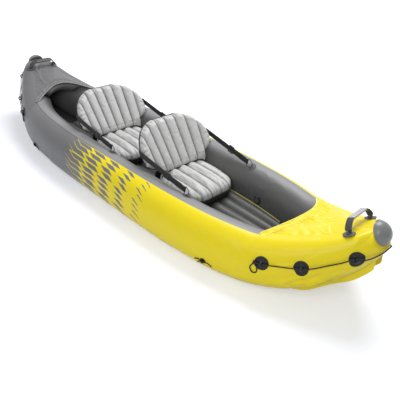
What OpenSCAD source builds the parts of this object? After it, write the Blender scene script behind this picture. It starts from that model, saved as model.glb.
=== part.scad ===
// Two-seat inflatable kayak. X runs from stern to bow, Y to port, Z up.
// The origin lies on the ground under the middle of the hull.

/* [Hull] */
// Length over the two air-filled noses
hull_l = 3100; // [3000:10:3200]
// Width over the two side chambers
beam = 910; // [880:5:940]
// Width of one side chamber
chamber_w = 250; // [235:5:260]
// Height of the side chambers amidships
side_h = 295; // [285:1:305]
// Rise of the top of the chambers at the noses
end_rise = 215; // [190:5:230]
// Rise of the underside of the chambers at the noses
rocker = 340; // [320:5:350]
// Half width of the hull where the noses begin to round
nose_half_w = 60; // [50:1:75]
// Length over which each nose is rounded
nose_len = 80; // [70:1:90]
// Length of each decked end, from the nose to the cockpit at the gunwale
end_l = 510; // [480:10:550]
// Thickness of the bottom sheet
skin_t = 3; // [2:0.5:4]
// Number of lengthwise lobes of the floor
floor_lobes = 5; // [3:1:7]
// Height of the floor lobes above their seams
floor_lobe_h = 24; // [15:1:30]

/* [Decks] */
// Thickness of the deck sheet
deck_t = 3; // [2:0.5:4]
// Crown of the deck between the chambers at the cockpit end
deck_crown = 45; // [30:1:60]
// Sweep of the deck edge towards the nose at the centre line
hem_sweep = 90; // [60:5:110]
// Angle that the deck laps down over each chamber
deck_lap = 45; // [30:15:45]
// Radius of the padded roll under the deck edge
roll_r = 36; // [28:1:38]
// Radius of the round nose cap
nose_cap_r = 60; // [54:1:64]
// Height of the nose cap
nose_cap_h = 46; // [36:1:52]

/* [Seats] */
// Place of the front seat's backrest along the hull
front_seat_x = 217; // [200:1:240]
// Place of the rear seat's backrest along the hull
rear_seat_x = -427; // [-450:1:-410]
// Length of a seat cushion
cushion_l = 325; // [300:5:340]
// Gap between a seat cushion and each side chamber
cushion_gap = 7; // [5:1:15]
// Height of a seat cushion at its crown
cushion_h = 112; // [90:1:115]
// Height of a backrest above its hinge
backrest_h = 302; // [280:1:320]
// How much wider a backrest is at its widest than at its hinge
backrest_flare = 158; // [130:1:165]
// Thickness of a backrest at its lobes
backrest_t = 46; // [36:1:52]
// How far the sides of a backrest wrap forward
backrest_wrap = 45; // [38:1:52]
// Lean of a backrest behind the vertical
backrest_lean = 37; // [34:1:40]
// Width of the strap webbing
strap_w = 25; // [20:1:30]
// Thickness of the strap webbing
strap_t = 2; // [1.5:0.5:2.5]

/* [Fittings] */
// Radius of a rope patch
rope_patch_r = 35; // [30:1:38]
// Radius of the grab line
rope_r = 3; // [2.5:0.5:3.5]
// Radius of the valve mouth
valve_mouth_r = 11; // [9:0.5:12]
// Radius of the valve flange
valve_flange_r = 27; // [25:1:30]
// Distance of the side valves back from the bow
side_valve_back = 845; // [830:1:870]
// Distance of the carry handles back from the noses
handle_back = 155; // [140:1:180]
// Distance between the feet of a carry handle
handle_span = 200; // [180:2:210]
// Height of a carry handle above its pivots
handle_h = 42; // [36:1:50]
// Length of a handle grip
grip_l = 122; // [100:2:130]

/* [Hidden] */
$fn = 48;

// Colours
hull_yellow = [0.93, 0.80, 0.05];
hull_gray = [0.30, 0.30, 0.32];
seat_gray = [0.74, 0.74, 0.76];
webbing_black = [0.06, 0.06, 0.07];
plastic_black = [0.09, 0.09, 0.10];
fitting_gray = [0.42, 0.42, 0.44];

// Clearances: between welded sheets, where a faceted sheet bows, at moving fits,
// and between the two chambers at the noses
weld_gap = 0.5;
facet_gap = 0.6;
run_gap = 0.4;
middle_gap = 0.15;

// Hull form
half_l = hull_l / 2;
cockpit_half_l = half_l - end_l;
well_w = beam - 2 * chamber_w;
sheer_x = cockpit_half_l - 40;
mid_steps = 13;
flat_steps = 10;
deck_steps = 9;
nose_steps = 6;
deck_end = half_l - nose_len - 20;
rocker_x = cockpit_half_l * flat_steps / mid_steps;
taper_power = 3.7;
sheer_power = 1.5;
rocker_power = 3.3;
round_power = 2;
chine_power = 2.6;
ring_step = 15;

function end_run(x, from) = max(0, (abs(x) - from) / (half_l - from));
function end_round(x) = sqrt(max(0, 1 - pow(end_run(x, half_l - nose_len), 2)));
function half_beam(x) =
  (beam / 2 - (beam / 2 - nose_half_w) * pow(min(1, abs(x) / half_l), taper_power)) * end_round(x);
function chamber_rh(x) = min(chamber_w / 2, half_beam(x) / 2 - middle_gap);
function chamber_top(x) = side_h + end_rise * pow(end_run(x, sheer_x), sheer_power);
function chamber_low(x) = skin_t + weld_gap + rocker * pow(end_run(x, rocker_x), rocker_power);
function chamber_z(x) = (chamber_top(x) + chamber_low(x)) / 2;
function chamber_rv(x) = (chamber_top(x) - chamber_low(x)) / 2 * end_round(x);
function chamber_y(x) = half_beam(x) - chamber_rh(x);
function bulge(c, power) = sign(c) * pow(abs(c), 2 / power);
function section_power(a) = sin(a) < -0.001 ? chine_power : round_power;
// A point of the port chamber's skin, with the angle measured from outboard over the top
function skin_point(x, a, off = 0) = [x,
  chamber_y(x) + (chamber_rh(x) + off) * bulge(cos(a), section_power(a)),
  chamber_z(x) + (chamber_rv(x) + off) * bulge(sin(a), section_power(a))];
function unit(v) = v / norm(v);
function skin_normal(x, a) = unit(cross(skin_point(x, a + 0.1) - skin_point(x, a - 0.1),
  skin_point(x + 0.1, a) - skin_point(x - 0.1, a)));

mid_x = [for (i = [0 : mid_steps]) cockpit_half_l * i / mid_steps];
deck_x = [for (i = [1 : deck_steps]) cockpit_half_l + (deck_end - cockpit_half_l) * i / deck_steps];
nose_tip = half_l - 2;
nose_x = [for (i = [1 : nose_steps]) deck_end + (nose_tip - deck_end) * sin(90 * i / nose_steps)];
forward_x = concat(mid_x, deck_x, nose_x);
function both_ways(list) = concat([for (i = [len(list) - 1 : -1 : 1]) -list[i]], list);
function flip_y(p) = [p.x, -p.y, p.z];
function reversed(list) = [for (i = [len(list) - 1 : -1 : 0]) list[i]];

// A closed solid through rings with equal numbers of points, each wound clockwise along the run.
// The lean picks the diagonal of each facet, to starboard and to port. The rings of a sheet go out
// along one face and back along the other, and its ends are closed from face to face
module loft(rings, lean = [0, 0], sheet = false) {
  n = len(rings[0]);
  last = len(rings) - 1;
  middle = n * (last + 1);
  end = last * n;
  sides = [for (i = [0 : last - 1], k = [0 : n - 1])
    let (m = (k + 1) % n, slant = lean[rings[i][k].y + rings[i][m].y > 0 ? 1 : 0])
    each [
      [i * n + k, i * n + m, (i + 1) * n + (slant == 1 ? m : k)],
      [(i + 1) * n + k, i * n + (slant == 1 ? k : m), (i + 1) * n + m]]];
  across = [for (k = [0 : n / 2 - 2]) let (m = n - 1 - k) each [
    [k, m, k + 1], [k + 1, m, m - 1],
    [end + k, end + k + 1, end + m], [end + k + 1, end + m - 1, end + m]]];
  around = [for (k = [0 : n - 1]) let (m = (k + 1) % n) each [
    [middle, m, k], [middle + 1, end + k, end + m]]];
  skin = [for (ring = rings, p = ring) p];
  hubs = [for (ring = [rings[0], rings[last]]) [for (p = ring) 1 / n] * ring];
  polyhedron(sheet ? skin : concat(skin, hubs), concat(sides, sheet ? across : around), convexity = 6);
}

// A round cord along a list of points
module cord(path, r, sides) {
  last = len(path) - 1;
  function run(i) = unit(path[min(last, i + 1)] - path[max(0, i - 1)]);
  function across(i) = unit(cross(run(i), [0, 0, 1]));
  function over(i) = cross(across(i), run(i));
  loft([for (i = [0 : last]) [for (k = [0 : sides - 1])
    path[i] + r * (cos(360 * k / sides) * across(i) + sin(360 * k / sides) * over(i))]]);
}

// A point on the flat between two facet edges of the port chamber's skin
function facet_point(x, a) = let (k = floor(a / ring_step), t = a / ring_step - k)
  (1 - t) * skin_point(x, k * ring_step) + t * skin_point(x, (k + 1) * ring_step);

// Puts a fitting on the port chamber's skin with its Z axis outward and its X axis down
module on_skin(x, a) {
  normal = skin_normal(x, a);
  translate(facet_point(x, a))
    rotate([0, acos(normal.z), atan2(normal.y, normal.x)])
      children();
}

module both_sides() {
  children();
  mirror([0, 1, 0])
    children();
}

module at_stern() {
  mirror([1, 0, 0])
    children();
}

// Side chambers, with a flat on each nose for the cap and a hole for the valve
cap_tilt = 52;
cap_back = 58;
cap_height = 0.75;
cap_x = half_l - cap_back;
cap_z = chamber_z(cap_x) + chamber_rv(cap_x) * cap_height;
side_valve_x = half_l - side_valve_back;
valve_angle = 180;
valve_body_r = valve_mouth_r + 6;
valve_body_l = 30;
valve_flange_t = 3;

module cap_frame() {
  translate([cap_x, 0, cap_z])
    rotate([0, cap_tilt, 0])
      children();
}

module cap_seat() {
  cap_frame()
    cylinder(r = 2 * nose_cap_r, h = 2 * nose_cap_r);
}

module side_chamber() {
  difference() {
    loft([for (x = reversed(both_ways(forward_x))) [for (a = [0 : ring_step : 359]) skin_point(x, a)]]);
    cap_seat();
    at_stern()
      cap_seat();
    on_skin(side_valve_x, valve_angle)
      translate([0, 0, -valve_body_l])
        cylinder(r = valve_body_r + weld_gap, h = 2 * valve_body_l);
  }
}

module port_side_chamber() {
  color(hull_yellow)
    side_chamber();
}

module starboard_side_chamber() {
  color(hull_yellow)
    mirror([0, 1, 0])
      side_chamber();
}

// Floor of lengthwise lobes that fills the space between the chambers
floor_foot = 255;
floor_edge = 195;
floor_side = [for (a = [floor_foot : -ring_step : floor_edge]) a];
floor_x = [for (i = [0 : 2 : mid_steps - 1]) mid_x[i]];
lobe_steps = 4;
floor_valve_x = 250 - cockpit_half_l;
floor_valve_seat = 5;

function floor_seam(x) = skin_point(x, floor_edge, weld_gap);
function floor_ring(x) = concat(
  [for (a = floor_side) skin_point(x, a, weld_gap)],
  [for (i = [1 : floor_lobes * lobe_steps - 1])
    let (f = i / (floor_lobes * lobe_steps))
    [x, floor_seam(x).y * (1 - 2 * f), floor_seam(x).z + floor_lobe_h * sqrt(abs(sin(180 * f * floor_lobes)))]],
  [for (i = [len(floor_side) - 1 : -1 : 0]) flip_y(skin_point(x, floor_side[i], weld_gap))]);
floor_top = floor_seam(0).z + floor_lobe_h;

module floor_valve_frame() {
  translate([floor_valve_x, 0, floor_top + floor_valve_seat])
    children();
}

module inflatable_floor() {
  color(hull_gray)
    difference() {
      union() {
        loft([for (x = reversed(both_ways(floor_x))) floor_ring(x)]);
        translate([floor_valve_x, 0, floor_top - floor_lobe_h])
          cylinder(r = valve_flange_r + 6, h = floor_lobe_h + floor_valve_seat);
      }
      floor_valve_frame()
        translate([0, 0, -valve_body_l])
          cylinder(r = valve_body_r + weld_gap, h = 2 * valve_body_l);
    }
}

// Bottom sheet: a flat middle panel and two panels that rise to the noses
bottom_x = [for (i = [0 : flat_steps]) mid_x[i]];

module bottom_sheet() {
  edge = [for (x = both_ways(bottom_x)) [x, chamber_y(x)]];
  color(hull_gray)
    linear_extrude(skin_t)
      polygon(concat(edge, [for (i = [len(edge) - 1 : -1 : 0]) [edge[i].x, -edge[i].y]]));
}

panel_x = concat([rocker_x + weld_gap], [for (i = [flat_steps + 1 : mid_steps]) mid_x[i]],
  [for (i = [0 : deck_steps - 2]) deck_x[i]]);
function panel_ring(x) = [
  [x, chamber_y(x), chamber_low(x) - weld_gap],
  [x, -chamber_y(x), chamber_low(x) - weld_gap],
  [x, -chamber_y(x), chamber_low(x) - weld_gap - skin_t],
  [x, chamber_y(x), chamber_low(x) - weld_gap - skin_t]];

module bottom_panel() {
  loft([for (x = reversed(panel_x)) panel_ring(x)]);
}

module bow_bottom_panel() {
  color(hull_yellow)
    bottom_panel();
}

module stern_bottom_panel() {
  color(hull_gray)
    at_stern()
      bottom_panel();
}

// Decks: a crowned sheet between the chambers that laps over both of them
deck_mid = 10;
lap_steps = deck_lap / ring_step;
deck_run = concat([cockpit_half_l], deck_x);

function crown_at(i) = deck_crown * (1 - i / deck_steps);
function hem_x(f) = cockpit_half_l + hem_sweep * (1 - f * f);
// Across position from -1 to 1 of the sheet between the tops of the chambers
function deck_point(i, f, off) =
  let (x = hem_x(f) + (deck_end - hem_x(f)) * i / deck_steps)
  [x, f * chamber_y(x), chamber_top(x) + off + crown_at(i) * (1 - f * f)];
function deck_line(i, off) = concat(
  [for (k = [lap_steps : -1 : 1]) skin_point(deck_run[i], 90 - k * ring_step, off)],
  [for (k = [deck_mid : -1 : -deck_mid]) deck_point(i, k / deck_mid, off)],
  [for (k = [1 : lap_steps]) flip_y(skin_point(deck_run[i], 90 - k * ring_step, off))]);

module deck() {
  loft([for (i = [deck_steps : -1 : 0])
    concat(deck_line(i, weld_gap + deck_t), reversed(deck_line(i, weld_gap)))], [0, 1], true);
}

module bow_deck() {
  color(hull_yellow)
    deck();
}

module stern_deck() {
  color(hull_gray)
    at_stern()
      deck();
}

// Padded roll that stiffens the deck edge and fills the room between the deck and the chambers
roll_reach = 0.86;
roll_fill = 0.42;
roll_slack = 1.03;
roll_steps = 14;
roll_sides = 12;
function skin_over(x, y) = chamber_z(x)
  + chamber_rv(x) * sqrt(max(0, 1 - pow((chamber_y(x) - abs(y)) / chamber_rh(x), 2)));
function roll_under(f) = deck_point(deck_steps * roll_r / (deck_end - hem_x(f)), f, 0);
function roll_size(f) = let (p = roll_under(f)) min(roll_r, roll_fill * (p.z - skin_over(p.x, p.y)));
function roll_centre(f) = roll_under(f) - [0, 0, roll_slack * roll_size(f)];

module deck_roll() {
  loft([for (i = [-roll_steps : roll_steps])
    let (f = roll_reach * i / roll_steps, c = roll_centre(f), r = roll_size(f))
    [for (k = [0 : roll_sides - 1])
      c + r * [cos(360 * k / roll_sides), 0, sin(360 * k / roll_sides)]]]);
}

module bow_deck_roll() {
  color(hull_gray)
    deck_roll();
}

module stern_deck_roll() {
  color(hull_gray)
    at_stern()
      deck_roll();
}

// Round domed cap welded on each nose
module nose_cap() {
  dome_r = (nose_cap_r * nose_cap_r + nose_cap_h * nose_cap_h) / (2 * nose_cap_h);
  cap_frame()
    translate([0, 0, weld_gap + nose_cap_h - dome_r])
      intersection() {
        sphere(r = dome_r, $fn = 96);
        translate([0, 0, dome_r - nose_cap_h])
          cylinder(r = nose_cap_r + 1, h = nose_cap_h + 1);
      }
}

module bow_nose_cap() {
  color(fitting_gray)
    nose_cap();
}

module stern_nose_cap() {
  color(fitting_gray)
    at_stern()
      nose_cap();
}

// Air valves: a flanged body in the wall and a lid on a side hinge
lid_t = 5;
lid_r = valve_body_r;
lid_recess_r = valve_mouth_r + 1;
lid_recess = 2;
hinge_out = valve_flange_r - 5;
hinge_up = valve_flange_t + 4;
hinge_pin_r = 1.5;
hinge_lug_w = 5;
hinge_eye_w = 8;

module valve_body() {
  difference() {
    union() {
      translate([0, 0, weld_gap])
        cylinder(r = valve_flange_r, h = valve_flange_t - weld_gap);
      translate([0, 0, -valve_body_l + weld_gap])
        cylinder(r = valve_body_r, h = valve_body_l);
      for (side = [-1, 1])
        translate([hinge_out, side * (hinge_eye_w + hinge_lug_w) / 2 + side * run_gap, valve_flange_t - 1])
          translate([-3, -hinge_lug_w / 2, 0])
            cube([6, hinge_lug_w, hinge_up - valve_flange_t + 4]);
      translate([hinge_out, 0, hinge_up])
        rotate([90, 0, 0])
          cylinder(r = hinge_pin_r, h = hinge_eye_w + hinge_lug_w, center = true);
    }
    translate([0, 0, -valve_body_l - 1])
      cylinder(r = valve_mouth_r, h = 2 * valve_body_l);
  }
}

module valve_lid() {
  difference() {
    union() {
      translate([0, 0, valve_flange_t + run_gap])
        cylinder(r = lid_r, h = lid_t);
      translate([hinge_out, 0, hinge_up])
        rotate([90, 0, 0])
          cylinder(r = hinge_pin_r + 1.6, h = hinge_eye_w, center = true);
      translate([lid_r - 4, -hinge_eye_w / 2, hinge_up - 1.5])
        cube([hinge_out - lid_r + 4, hinge_eye_w, 3]);
    }
    translate([0, 0, valve_flange_t])
      cylinder(r = lid_recess_r, h = run_gap + lid_recess);
    translate([hinge_out, 0, hinge_up])
      rotate([90, 0, 0])
        cylinder(r = hinge_pin_r + run_gap, h = hinge_eye_w + 1, center = true);
  }
}

// The side valves have their hinges uppermost
module side_valve_frame() {
  on_skin(side_valve_x, valve_angle)
    rotate([0, 0, 180])
      children();
}

module port_valve_body() {
  color(plastic_black)
    side_valve_frame()
      valve_body();
}

module port_valve_cap() {
  color(plastic_black)
    side_valve_frame()
      valve_lid();
}

module starboard_valve_body() {
  color(plastic_black)
    mirror([0, 1, 0])
      side_valve_frame()
        valve_body();
}

module starboard_valve_cap() {
  color(plastic_black)
    mirror([0, 1, 0])
      side_valve_frame()
        valve_lid();
}

module floor_valve_body() {
  color(plastic_black)
    floor_valve_frame()
      valve_body();
}

module floor_valve_cap() {
  color(plastic_black)
    floor_valve_frame()
      valve_lid();
}

// Round patches that hold the grab lines, three to a side at each end
patch_t = 4;
patch_boss_r = 15;
patch_boss_h = 18;
rope_hole_r = 7;
rope_lift = patch_t + rope_hole_r;
// Distance back from the nose and angle on the skin
patch_spots = [[428, 16], [264, 8], [81, 2]];

module rope_patch() {
  difference() {
    union() {
      translate([0, 0, weld_gap])
        cylinder(r = rope_patch_r, h = patch_t - weld_gap);
      cylinder(r = patch_boss_r, h = patch_boss_h + patch_t - 1);
    }
    translate([0, 0, rope_lift])
      rotate([90, 0, 0])
        cylinder(r = rope_hole_r, h = 3 * patch_boss_r, center = true);
    translate([0, 0, -1])
      cylinder(r = patch_boss_r + 1, h = 1 + weld_gap);
  }
}

module rope_patches() {
  both_sides()
    for (spot = patch_spots)
      on_skin(half_l - spot[0], spot[1])
        rope_patch();
}

module bow_rope_patches() {
  color(plastic_black)
    rope_patches();
}

module stern_rope_patches() {
  color(plastic_black)
    at_stern()
      rope_patches();
}

// Grab line, tied off behind the first patch on each side and led round the nose.
// Distance back from the nose, angle on the skin and height above it
line_route = [[458, 17, 10], [442, 16, 11], [428, 16, 11], [412, 15, 11], [385, 14, 9], [345, 12, 6],
  [305, 10, 9], [280, 9, 11], [264, 8, 11], [247, 6, 11], [215, 5, 9], [170, 5, 6], [125, 5, 9],
  [95, 7, 11], [81, 2, 11], [66, -2, 13], [45, -9, 11], [27, -18, 8], [13, -32, 7], [5, -50, 7]];
rope_sides = 8;

module grab_line() {
  half = [for (p = line_route)
    skin_point(half_l - p[0], p[1]) + p[2] * skin_normal(half_l - p[0], p[1])];
  cord(concat(half, reversed([for (p = half) flip_y(p)])), rope_r, rope_sides);
}

module bow_grab_line() {
  color(webbing_black)
    grab_line();
}

module stern_grab_line() {
  color(webbing_black)
    at_stern()
      grab_line();
}

// Tie cords knotted at small patches low on the sides
tie_x = cockpit_half_l - 209;
tie_angle = 338;
tie_patch_r = 17;
tie_patch_t = 3;
tie_knot_r = 8;
tie_tail_l = 45;
tie_cord_r = 2.5;

module each_tie() {
  both_sides()
    for (end = [0, 1])
      mirror([end, 0, 0])
        on_skin(tie_x, tie_angle)
          children();
}

module tie_patches() {
  color(plastic_black)
    each_tie()
      translate([0, 0, weld_gap])
        cylinder(r = tie_patch_r, h = tie_patch_t - weld_gap);
}

module tie_cords() {
  color(webbing_black)
    each_tie()
      translate([0, 0, tie_patch_t + tie_knot_r]) {
        sphere(r = tie_knot_r);
        for (turn = [60, 120, 265])
          rotate([0, 0, turn])
            rotate([0, 90, 0]) {
              cylinder(r = tie_cord_r, h = tie_tail_l);
              translate([0, 0, tie_tail_l])
                sphere(r = tie_cord_r + 1);
            }
      }
}

// Carry handles: a webbing bail on two anchors, with a padded grip
handle_x = half_l - handle_back;
handle_slope = atan2(chamber_top(handle_x + 20) - chamber_top(handle_x - 20), 40);
anchor_y = handle_span / 2;
anchor_r = 22;
anchor_t = 4;
anchor_lift = 2.6;
pivot_up = 17;
bail_pin_r = 2.5;
bail_eye_r = 5;
bail_eye_w = 16;
post_t = 6;
leg_w = 24;
leg_t = 3;
grip_w = 34;
grip_t = 13;

module handle_frame() {
  translate([handle_x, 0, chamber_top(handle_x) + weld_gap + deck_t + anchor_lift])
    rotate([0, -handle_slope, 0])
      children();
}

module handle_anchors() {
  handle_frame()
    for (side = [-1, 1])
      translate([0, side * anchor_y, 0]) {
        cylinder(r = anchor_r, h = anchor_t);
        for (post = [-1, 1])
          translate([-5, post * (bail_eye_w / 2 + post_t / 2 + run_gap) - post_t / 2, anchor_t - 1])
            cube([10, post_t, pivot_up - anchor_t + 5]);
        translate([0, 0, pivot_up])
          rotate([90, 0, 0])
            cylinder(r = bail_pin_r, h = bail_eye_w + post_t, center = true);
      }
}

module handle_strap() {
  top_y = grip_l / 2 + 4;
  eye_y = anchor_y - bail_eye_w / 2;
  handle_frame()
    translate([0, 0, pivot_up])
      difference() {
        union() {
          for (side = [-1, 1]) {
            translate([0, side * anchor_y, 0])
              rotate([90, 0, 0])
                cylinder(r = bail_eye_r, h = bail_eye_w, center = true);
            rotate([90, 0, 90])
              linear_extrude(leg_w, center = true)
                polygon([[side * (eye_y + 4), bail_eye_r - 1], [side * (anchor_y + 2), bail_eye_r - 1],
                  [side * (top_y + leg_t), handle_h + leg_t], [side * (top_y - 2), handle_h]]);
          }
          translate([-leg_w / 2, -top_y, handle_h])
            cube([leg_w, 2 * top_y, leg_t]);
        }
        rotate([90, 0, 0])
          cylinder(r = bail_pin_r + run_gap, h = 2 * handle_span, center = true);
      }
}

module handle_grip() {
  handle_frame()
    translate([0, 0, pivot_up + handle_h + leg_t / 2])
      rotate([90, 0, 0])
        difference() {
          intersection() {
            cube([grip_w, grip_t, grip_l], center = true);
            cylinder(r = grip_w / 2 + 0.8, h = grip_l, center = true);
          }
          cube([leg_w + 2 * run_gap, leg_t + 2 * run_gap, grip_l + 1], center = true);
        }
}

module bow_handle_anchors() {
  color(fitting_gray)
    handle_anchors();
}

module bow_handle_strap() {
  color(webbing_black)
    handle_strap();
}

module bow_handle_grip() {
  color(fitting_gray)
    handle_grip();
}

module stern_handle_anchors() {
  color(fitting_gray)
    at_stern()
      handle_anchors();
}

module stern_handle_strap() {
  color(webbing_black)
    at_stern()
      handle_strap();
}

module stern_handle_grip() {
  color(fitting_gray)
    at_stern()
      handle_grip();
}

// Slotted box under the stern that takes a clip-in fin from behind
fin_box_from = half_l - 385;
fin_box_to = half_l - 260;
fin_box_w = 36;
fin_box_low = 10;
fin_slot_w = 9;
fin_slot_h = 9;
fin_lip_w = 5;
fin_lip_t = 3;
fin_stop = 10;
fin_box_steps = 5;

module skeg_box() {
  length = fin_box_to - fin_box_from;
  roof = [for (i = [fin_box_steps : -1 : 0]) let (x = fin_box_from + length * i / fin_box_steps)
    [x, chamber_low(x) - 2 * weld_gap - skin_t - facet_gap]];
  color(plastic_black)
    at_stern()
      difference() {
        translate([0, fin_box_w / 2, 0])
          rotate([90, 0, 0])
            linear_extrude(fin_box_w)
              polygon(concat([[fin_box_from, fin_box_low], [fin_box_to, fin_box_low]], roof));
        translate([fin_box_from + fin_stop, -fin_slot_w / 2, fin_box_low + fin_lip_t])
          cube([length, fin_slot_w, fin_slot_h]);
        translate([fin_box_from + fin_stop, -fin_lip_w / 2, fin_box_low - 1])
          cube([length, fin_lip_w, fin_lip_t + 2]);
      }
}

// Seats: black base with a hinge cord, channelled cushion, fan-shaped backrest
cushion_w = well_w - 2 * cushion_gap;
backrest_foot_w = cushion_w - 6;
backrest_w = backrest_foot_w + backrest_flare;
seat_z = floor_top + weld_gap;
base_t = 4;
cushion_z = seat_z + base_t + weld_gap;
cushion_seam = 0.42;
cushion_dip = 0.2;
cushion_lobes = 5;
cushion_lobe_steps = 4;
cushion_run = 9;
cushion_corner = 120;
hinge_back = 14;
hinge_z = cushion_z + cushion_h + 4;
cord_r = 3.5;
sleeve_r = 7;
sleeve_l = 110;
sleeve_y = 85;
upstand_t = 4;

module seat_frame(place) {
  translate([place, 0, 0])
    children();
}

// Plan of the cushion: front and rear edge at a distance from the centre line
function corner_cut(y, r) = let (over = max(0, abs(y) - (cushion_w / 2 - r))) r - sqrt(max(0, r * r - over * over));
function cushion_front(y) = cushion_l - corner_cut(y, cushion_corner);
function cushion_rear(y) = corner_cut(y, cushion_corner / 2);
function swell(f, power) = pow(max(0, 1 - pow(abs(f), power)), 1 / power);

function cushion_ring(f) =
  let (y = f * cushion_w / 2, side = swell(0.985 * f, 4),
    valley = 0.8 + 0.2 * sqrt(abs(sin(90 * (f + 1) * cushion_lobes))),
    x0 = cushion_rear(y), x1 = cushion_front(y), seam = cushion_z + cushion_seam * cushion_h)
  concat(
    [for (i = [0 : cushion_run]) let (u = i / cushion_run)
      [x0 + (x1 - x0) * u, y,
        seam + (1 - cushion_seam) * cushion_h * (0.06 + 0.94 * side * valley * swell(2 * u - 1, 7)
          * (1 - cushion_dip * u * u))]],
    [for (i = [cushion_run : -1 : 0]) let (u = i / cushion_run)
      [x0 + (x1 - x0) * u, y,
        seam - cushion_seam * cushion_h * (0.04 + 0.96 * swell(f * 0.96, 6) * swell((2 * u - 1) * 0.96, 6))]]);

module seat_cushion() {
  n = cushion_lobes * cushion_lobe_steps;
  loft([for (i = [0 : n]) cushion_ring(1 - 2 * i / n)]);
}

module seat_base() {
  r = cushion_corner;
  translate([0, 0, seat_z])
    linear_extrude(base_t) {
      translate([-hinge_back - upstand_t / 2, -cushion_w / 2 + 4])
        square([cushion_l - r + hinge_back, cushion_w - 8]);
      translate([0, -cushion_w / 2 + r])
        square([cushion_l - 2, cushion_w - 2 * r]);
      for (side = [-1, 1])
        translate([cushion_l - r - 2, side * (cushion_w / 2 - r)])
          circle(r = r - 4);
    }
  translate([-hinge_back - upstand_t / 2, -backrest_foot_w / 2 + 8, seat_z])
    cube([upstand_t, backrest_foot_w - 16, hinge_z - sleeve_r - 1 - seat_z]);
  translate([-hinge_back, 0, hinge_z])
    rotate([90, 0, 0])
      cylinder(r = cord_r, h = backrest_foot_w - 20, center = true);
  for (y = [-1, 0, 1])
    translate([-hinge_back - upstand_t / 2, y * (2 * sleeve_y) - 12, hinge_z - sleeve_r - 2])
      cube([upstand_t, 24, sleeve_r + 2]);
}

// Backrest frame: Z up the back, X out of its face, origin on the hinge cord
module back_frame() {
  translate([-hinge_back, 0, hinge_z])
    rotate([0, -backrest_lean, 0])
      children();
}

back_lobes = 8;
back_lobe_steps = 3;
back_rings = 12;
back_foot = 10;
back_wide = 0.16;
panel_t = 3;
panel_rim = 5;
back_face = 4;

// Half width of the fan at a height from 0 to 1
function fan_half(u) = u < back_wide
  ? backrest_foot_w / 2 + (backrest_w - backrest_foot_w) / 2 * sin(90 * u / back_wide)
  : backrest_w / 2 * pow(max(0, 1 - pow((u - back_wide) / (1.03 - back_wide), 2.4)), 1 / 2.4);
function wrap_at(s) = backrest_wrap * pow(2 * s / backrest_w, 2);
function fan_height(u) = back_foot + (backrest_h - back_foot) * u;

function back_ring(u) =
  let (half = fan_half(u), n = back_lobes * back_lobe_steps, rise = 0.12 + 0.88 * swell(2 * u - 1, 3.2))
  concat(
    [for (i = [0 : n]) let (f = 1 - 2 * i / n, s = f * half,
        lobe = 0.62 + 0.38 * sqrt(abs(sin(180 * back_lobes * i / n))))
      [wrap_at(s) + back_face + backrest_t * (0.1 + 0.9 * swell(f, 4) * lobe) * rise, s, fan_height(u)]],
    [for (i = [n : -1 : 0]) let (s = (1 - 2 * i / n) * half)
      [wrap_at(s) + back_face, s, fan_height(u)]]);

module backrest() {
  back_frame()
    loft([for (i = [0 : back_rings]) back_ring(i / back_rings)], sheet = true);
}

function panel_line(u, off) =
  let (half = fan_half(u), n = back_lobes * back_lobe_steps, rim = half + panel_rim)
  [for (s = concat([rim], [for (i = [0 : n]) (1 - 2 * i / n) * half], [-rim]))
    [wrap_at(s) + off, s, fan_height(u)]];

module back_panel() {
  face = back_face - weld_gap;
  back_frame()
    loft([for (i = [0 : back_rings]) let (u = i / back_rings)
      concat(panel_line(u, face), reversed(panel_line(u, face - panel_t)))], [1, 1], true);
}

// Sleeves that turn on the hinge cord, with a strip up to the back panel
module back_hinge() {
  back_frame()
    difference() {
      for (y = [-sleeve_y, sleeve_y])
        translate([0, y, 0]) {
          rotate([90, 0, 0])
            cylinder(r = sleeve_r, h = sleeve_l, center = true);
          translate([-1.5, -sleeve_l / 2, 0])
            cube([3, sleeve_l, back_foot - weld_gap]);
        }
      rotate([90, 0, 0])
        cylinder(r = cord_r + run_gap, h = 2 * backrest_w, center = true);
    }
}

// Side straps from the backrest to rings on the chambers
ring_run = 345;
ring_angle = 112;
ring_patch_r = 30;
ring_patch_t = 3;
ring_r = 13;
ring_wire_r = 2.2;
ring_play = 0.6;
ring_hole_r = ring_wire_r + ring_play;
ring_loop_w = 14;
ring_loop_t = 5;
ring_up = ring_patch_t + ring_hole_r + ring_r;
strap_height = 130;
strap_gap = 1.2;
buckle_place = 0.62;
buckle_l = 30;
buckle_t = 7;

module ring_frame(place) {
  on_skin(place + ring_run, ring_angle)
    children();
}

function ring_centre(place) = facet_point(place + ring_run, ring_angle)
  + ring_up * skin_normal(place + ring_run, ring_angle);
// Where the strap leaves the side of the back panel
function strap_start(place) =
  let (u = (strap_height - strap_w / 2 - back_foot) / (backrest_h - back_foot), s = fan_half(u) + panel_rim,
    w = wrap_at(s) + back_face)
  [place - hinge_back + w * cos(backrest_lean) - strap_height * sin(backrest_lean), s + strap_gap + strap_t / 2,
    hinge_z + strap_height * cos(backrest_lean) + w * sin(backrest_lean)];
function strap_end(place) =
  ring_centre(place) - (ring_r + ring_wire_r + ring_play) * unit(ring_centre(place) - strap_start(place));

module strap_patches(place) {
  both_sides()
    ring_frame(place)
      difference() {
        union() {
          translate([0, 0, weld_gap])
            cylinder(r = ring_patch_r, h = ring_patch_t - weld_gap);
          translate([-ring_loop_w / 2, -ring_loop_t / 2, ring_patch_t - 1])
            cube([ring_loop_w, ring_loop_t, 2 * ring_wire_r + 5]);
        }
        translate([0, 0, ring_patch_t + ring_hole_r])
          rotate([90, 0, 0])
            cylinder(r = ring_hole_r, h = 2 * ring_loop_t, center = true);
      }
}

module strap_rings(place) {
  both_sides()
    ring_frame(place)
      translate([0, 0, ring_up])
        rotate([0, 90, 0])
          rotate_extrude()
            translate([ring_r, 0])
              circle(r = ring_wire_r, $fn = 24);
}

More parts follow.
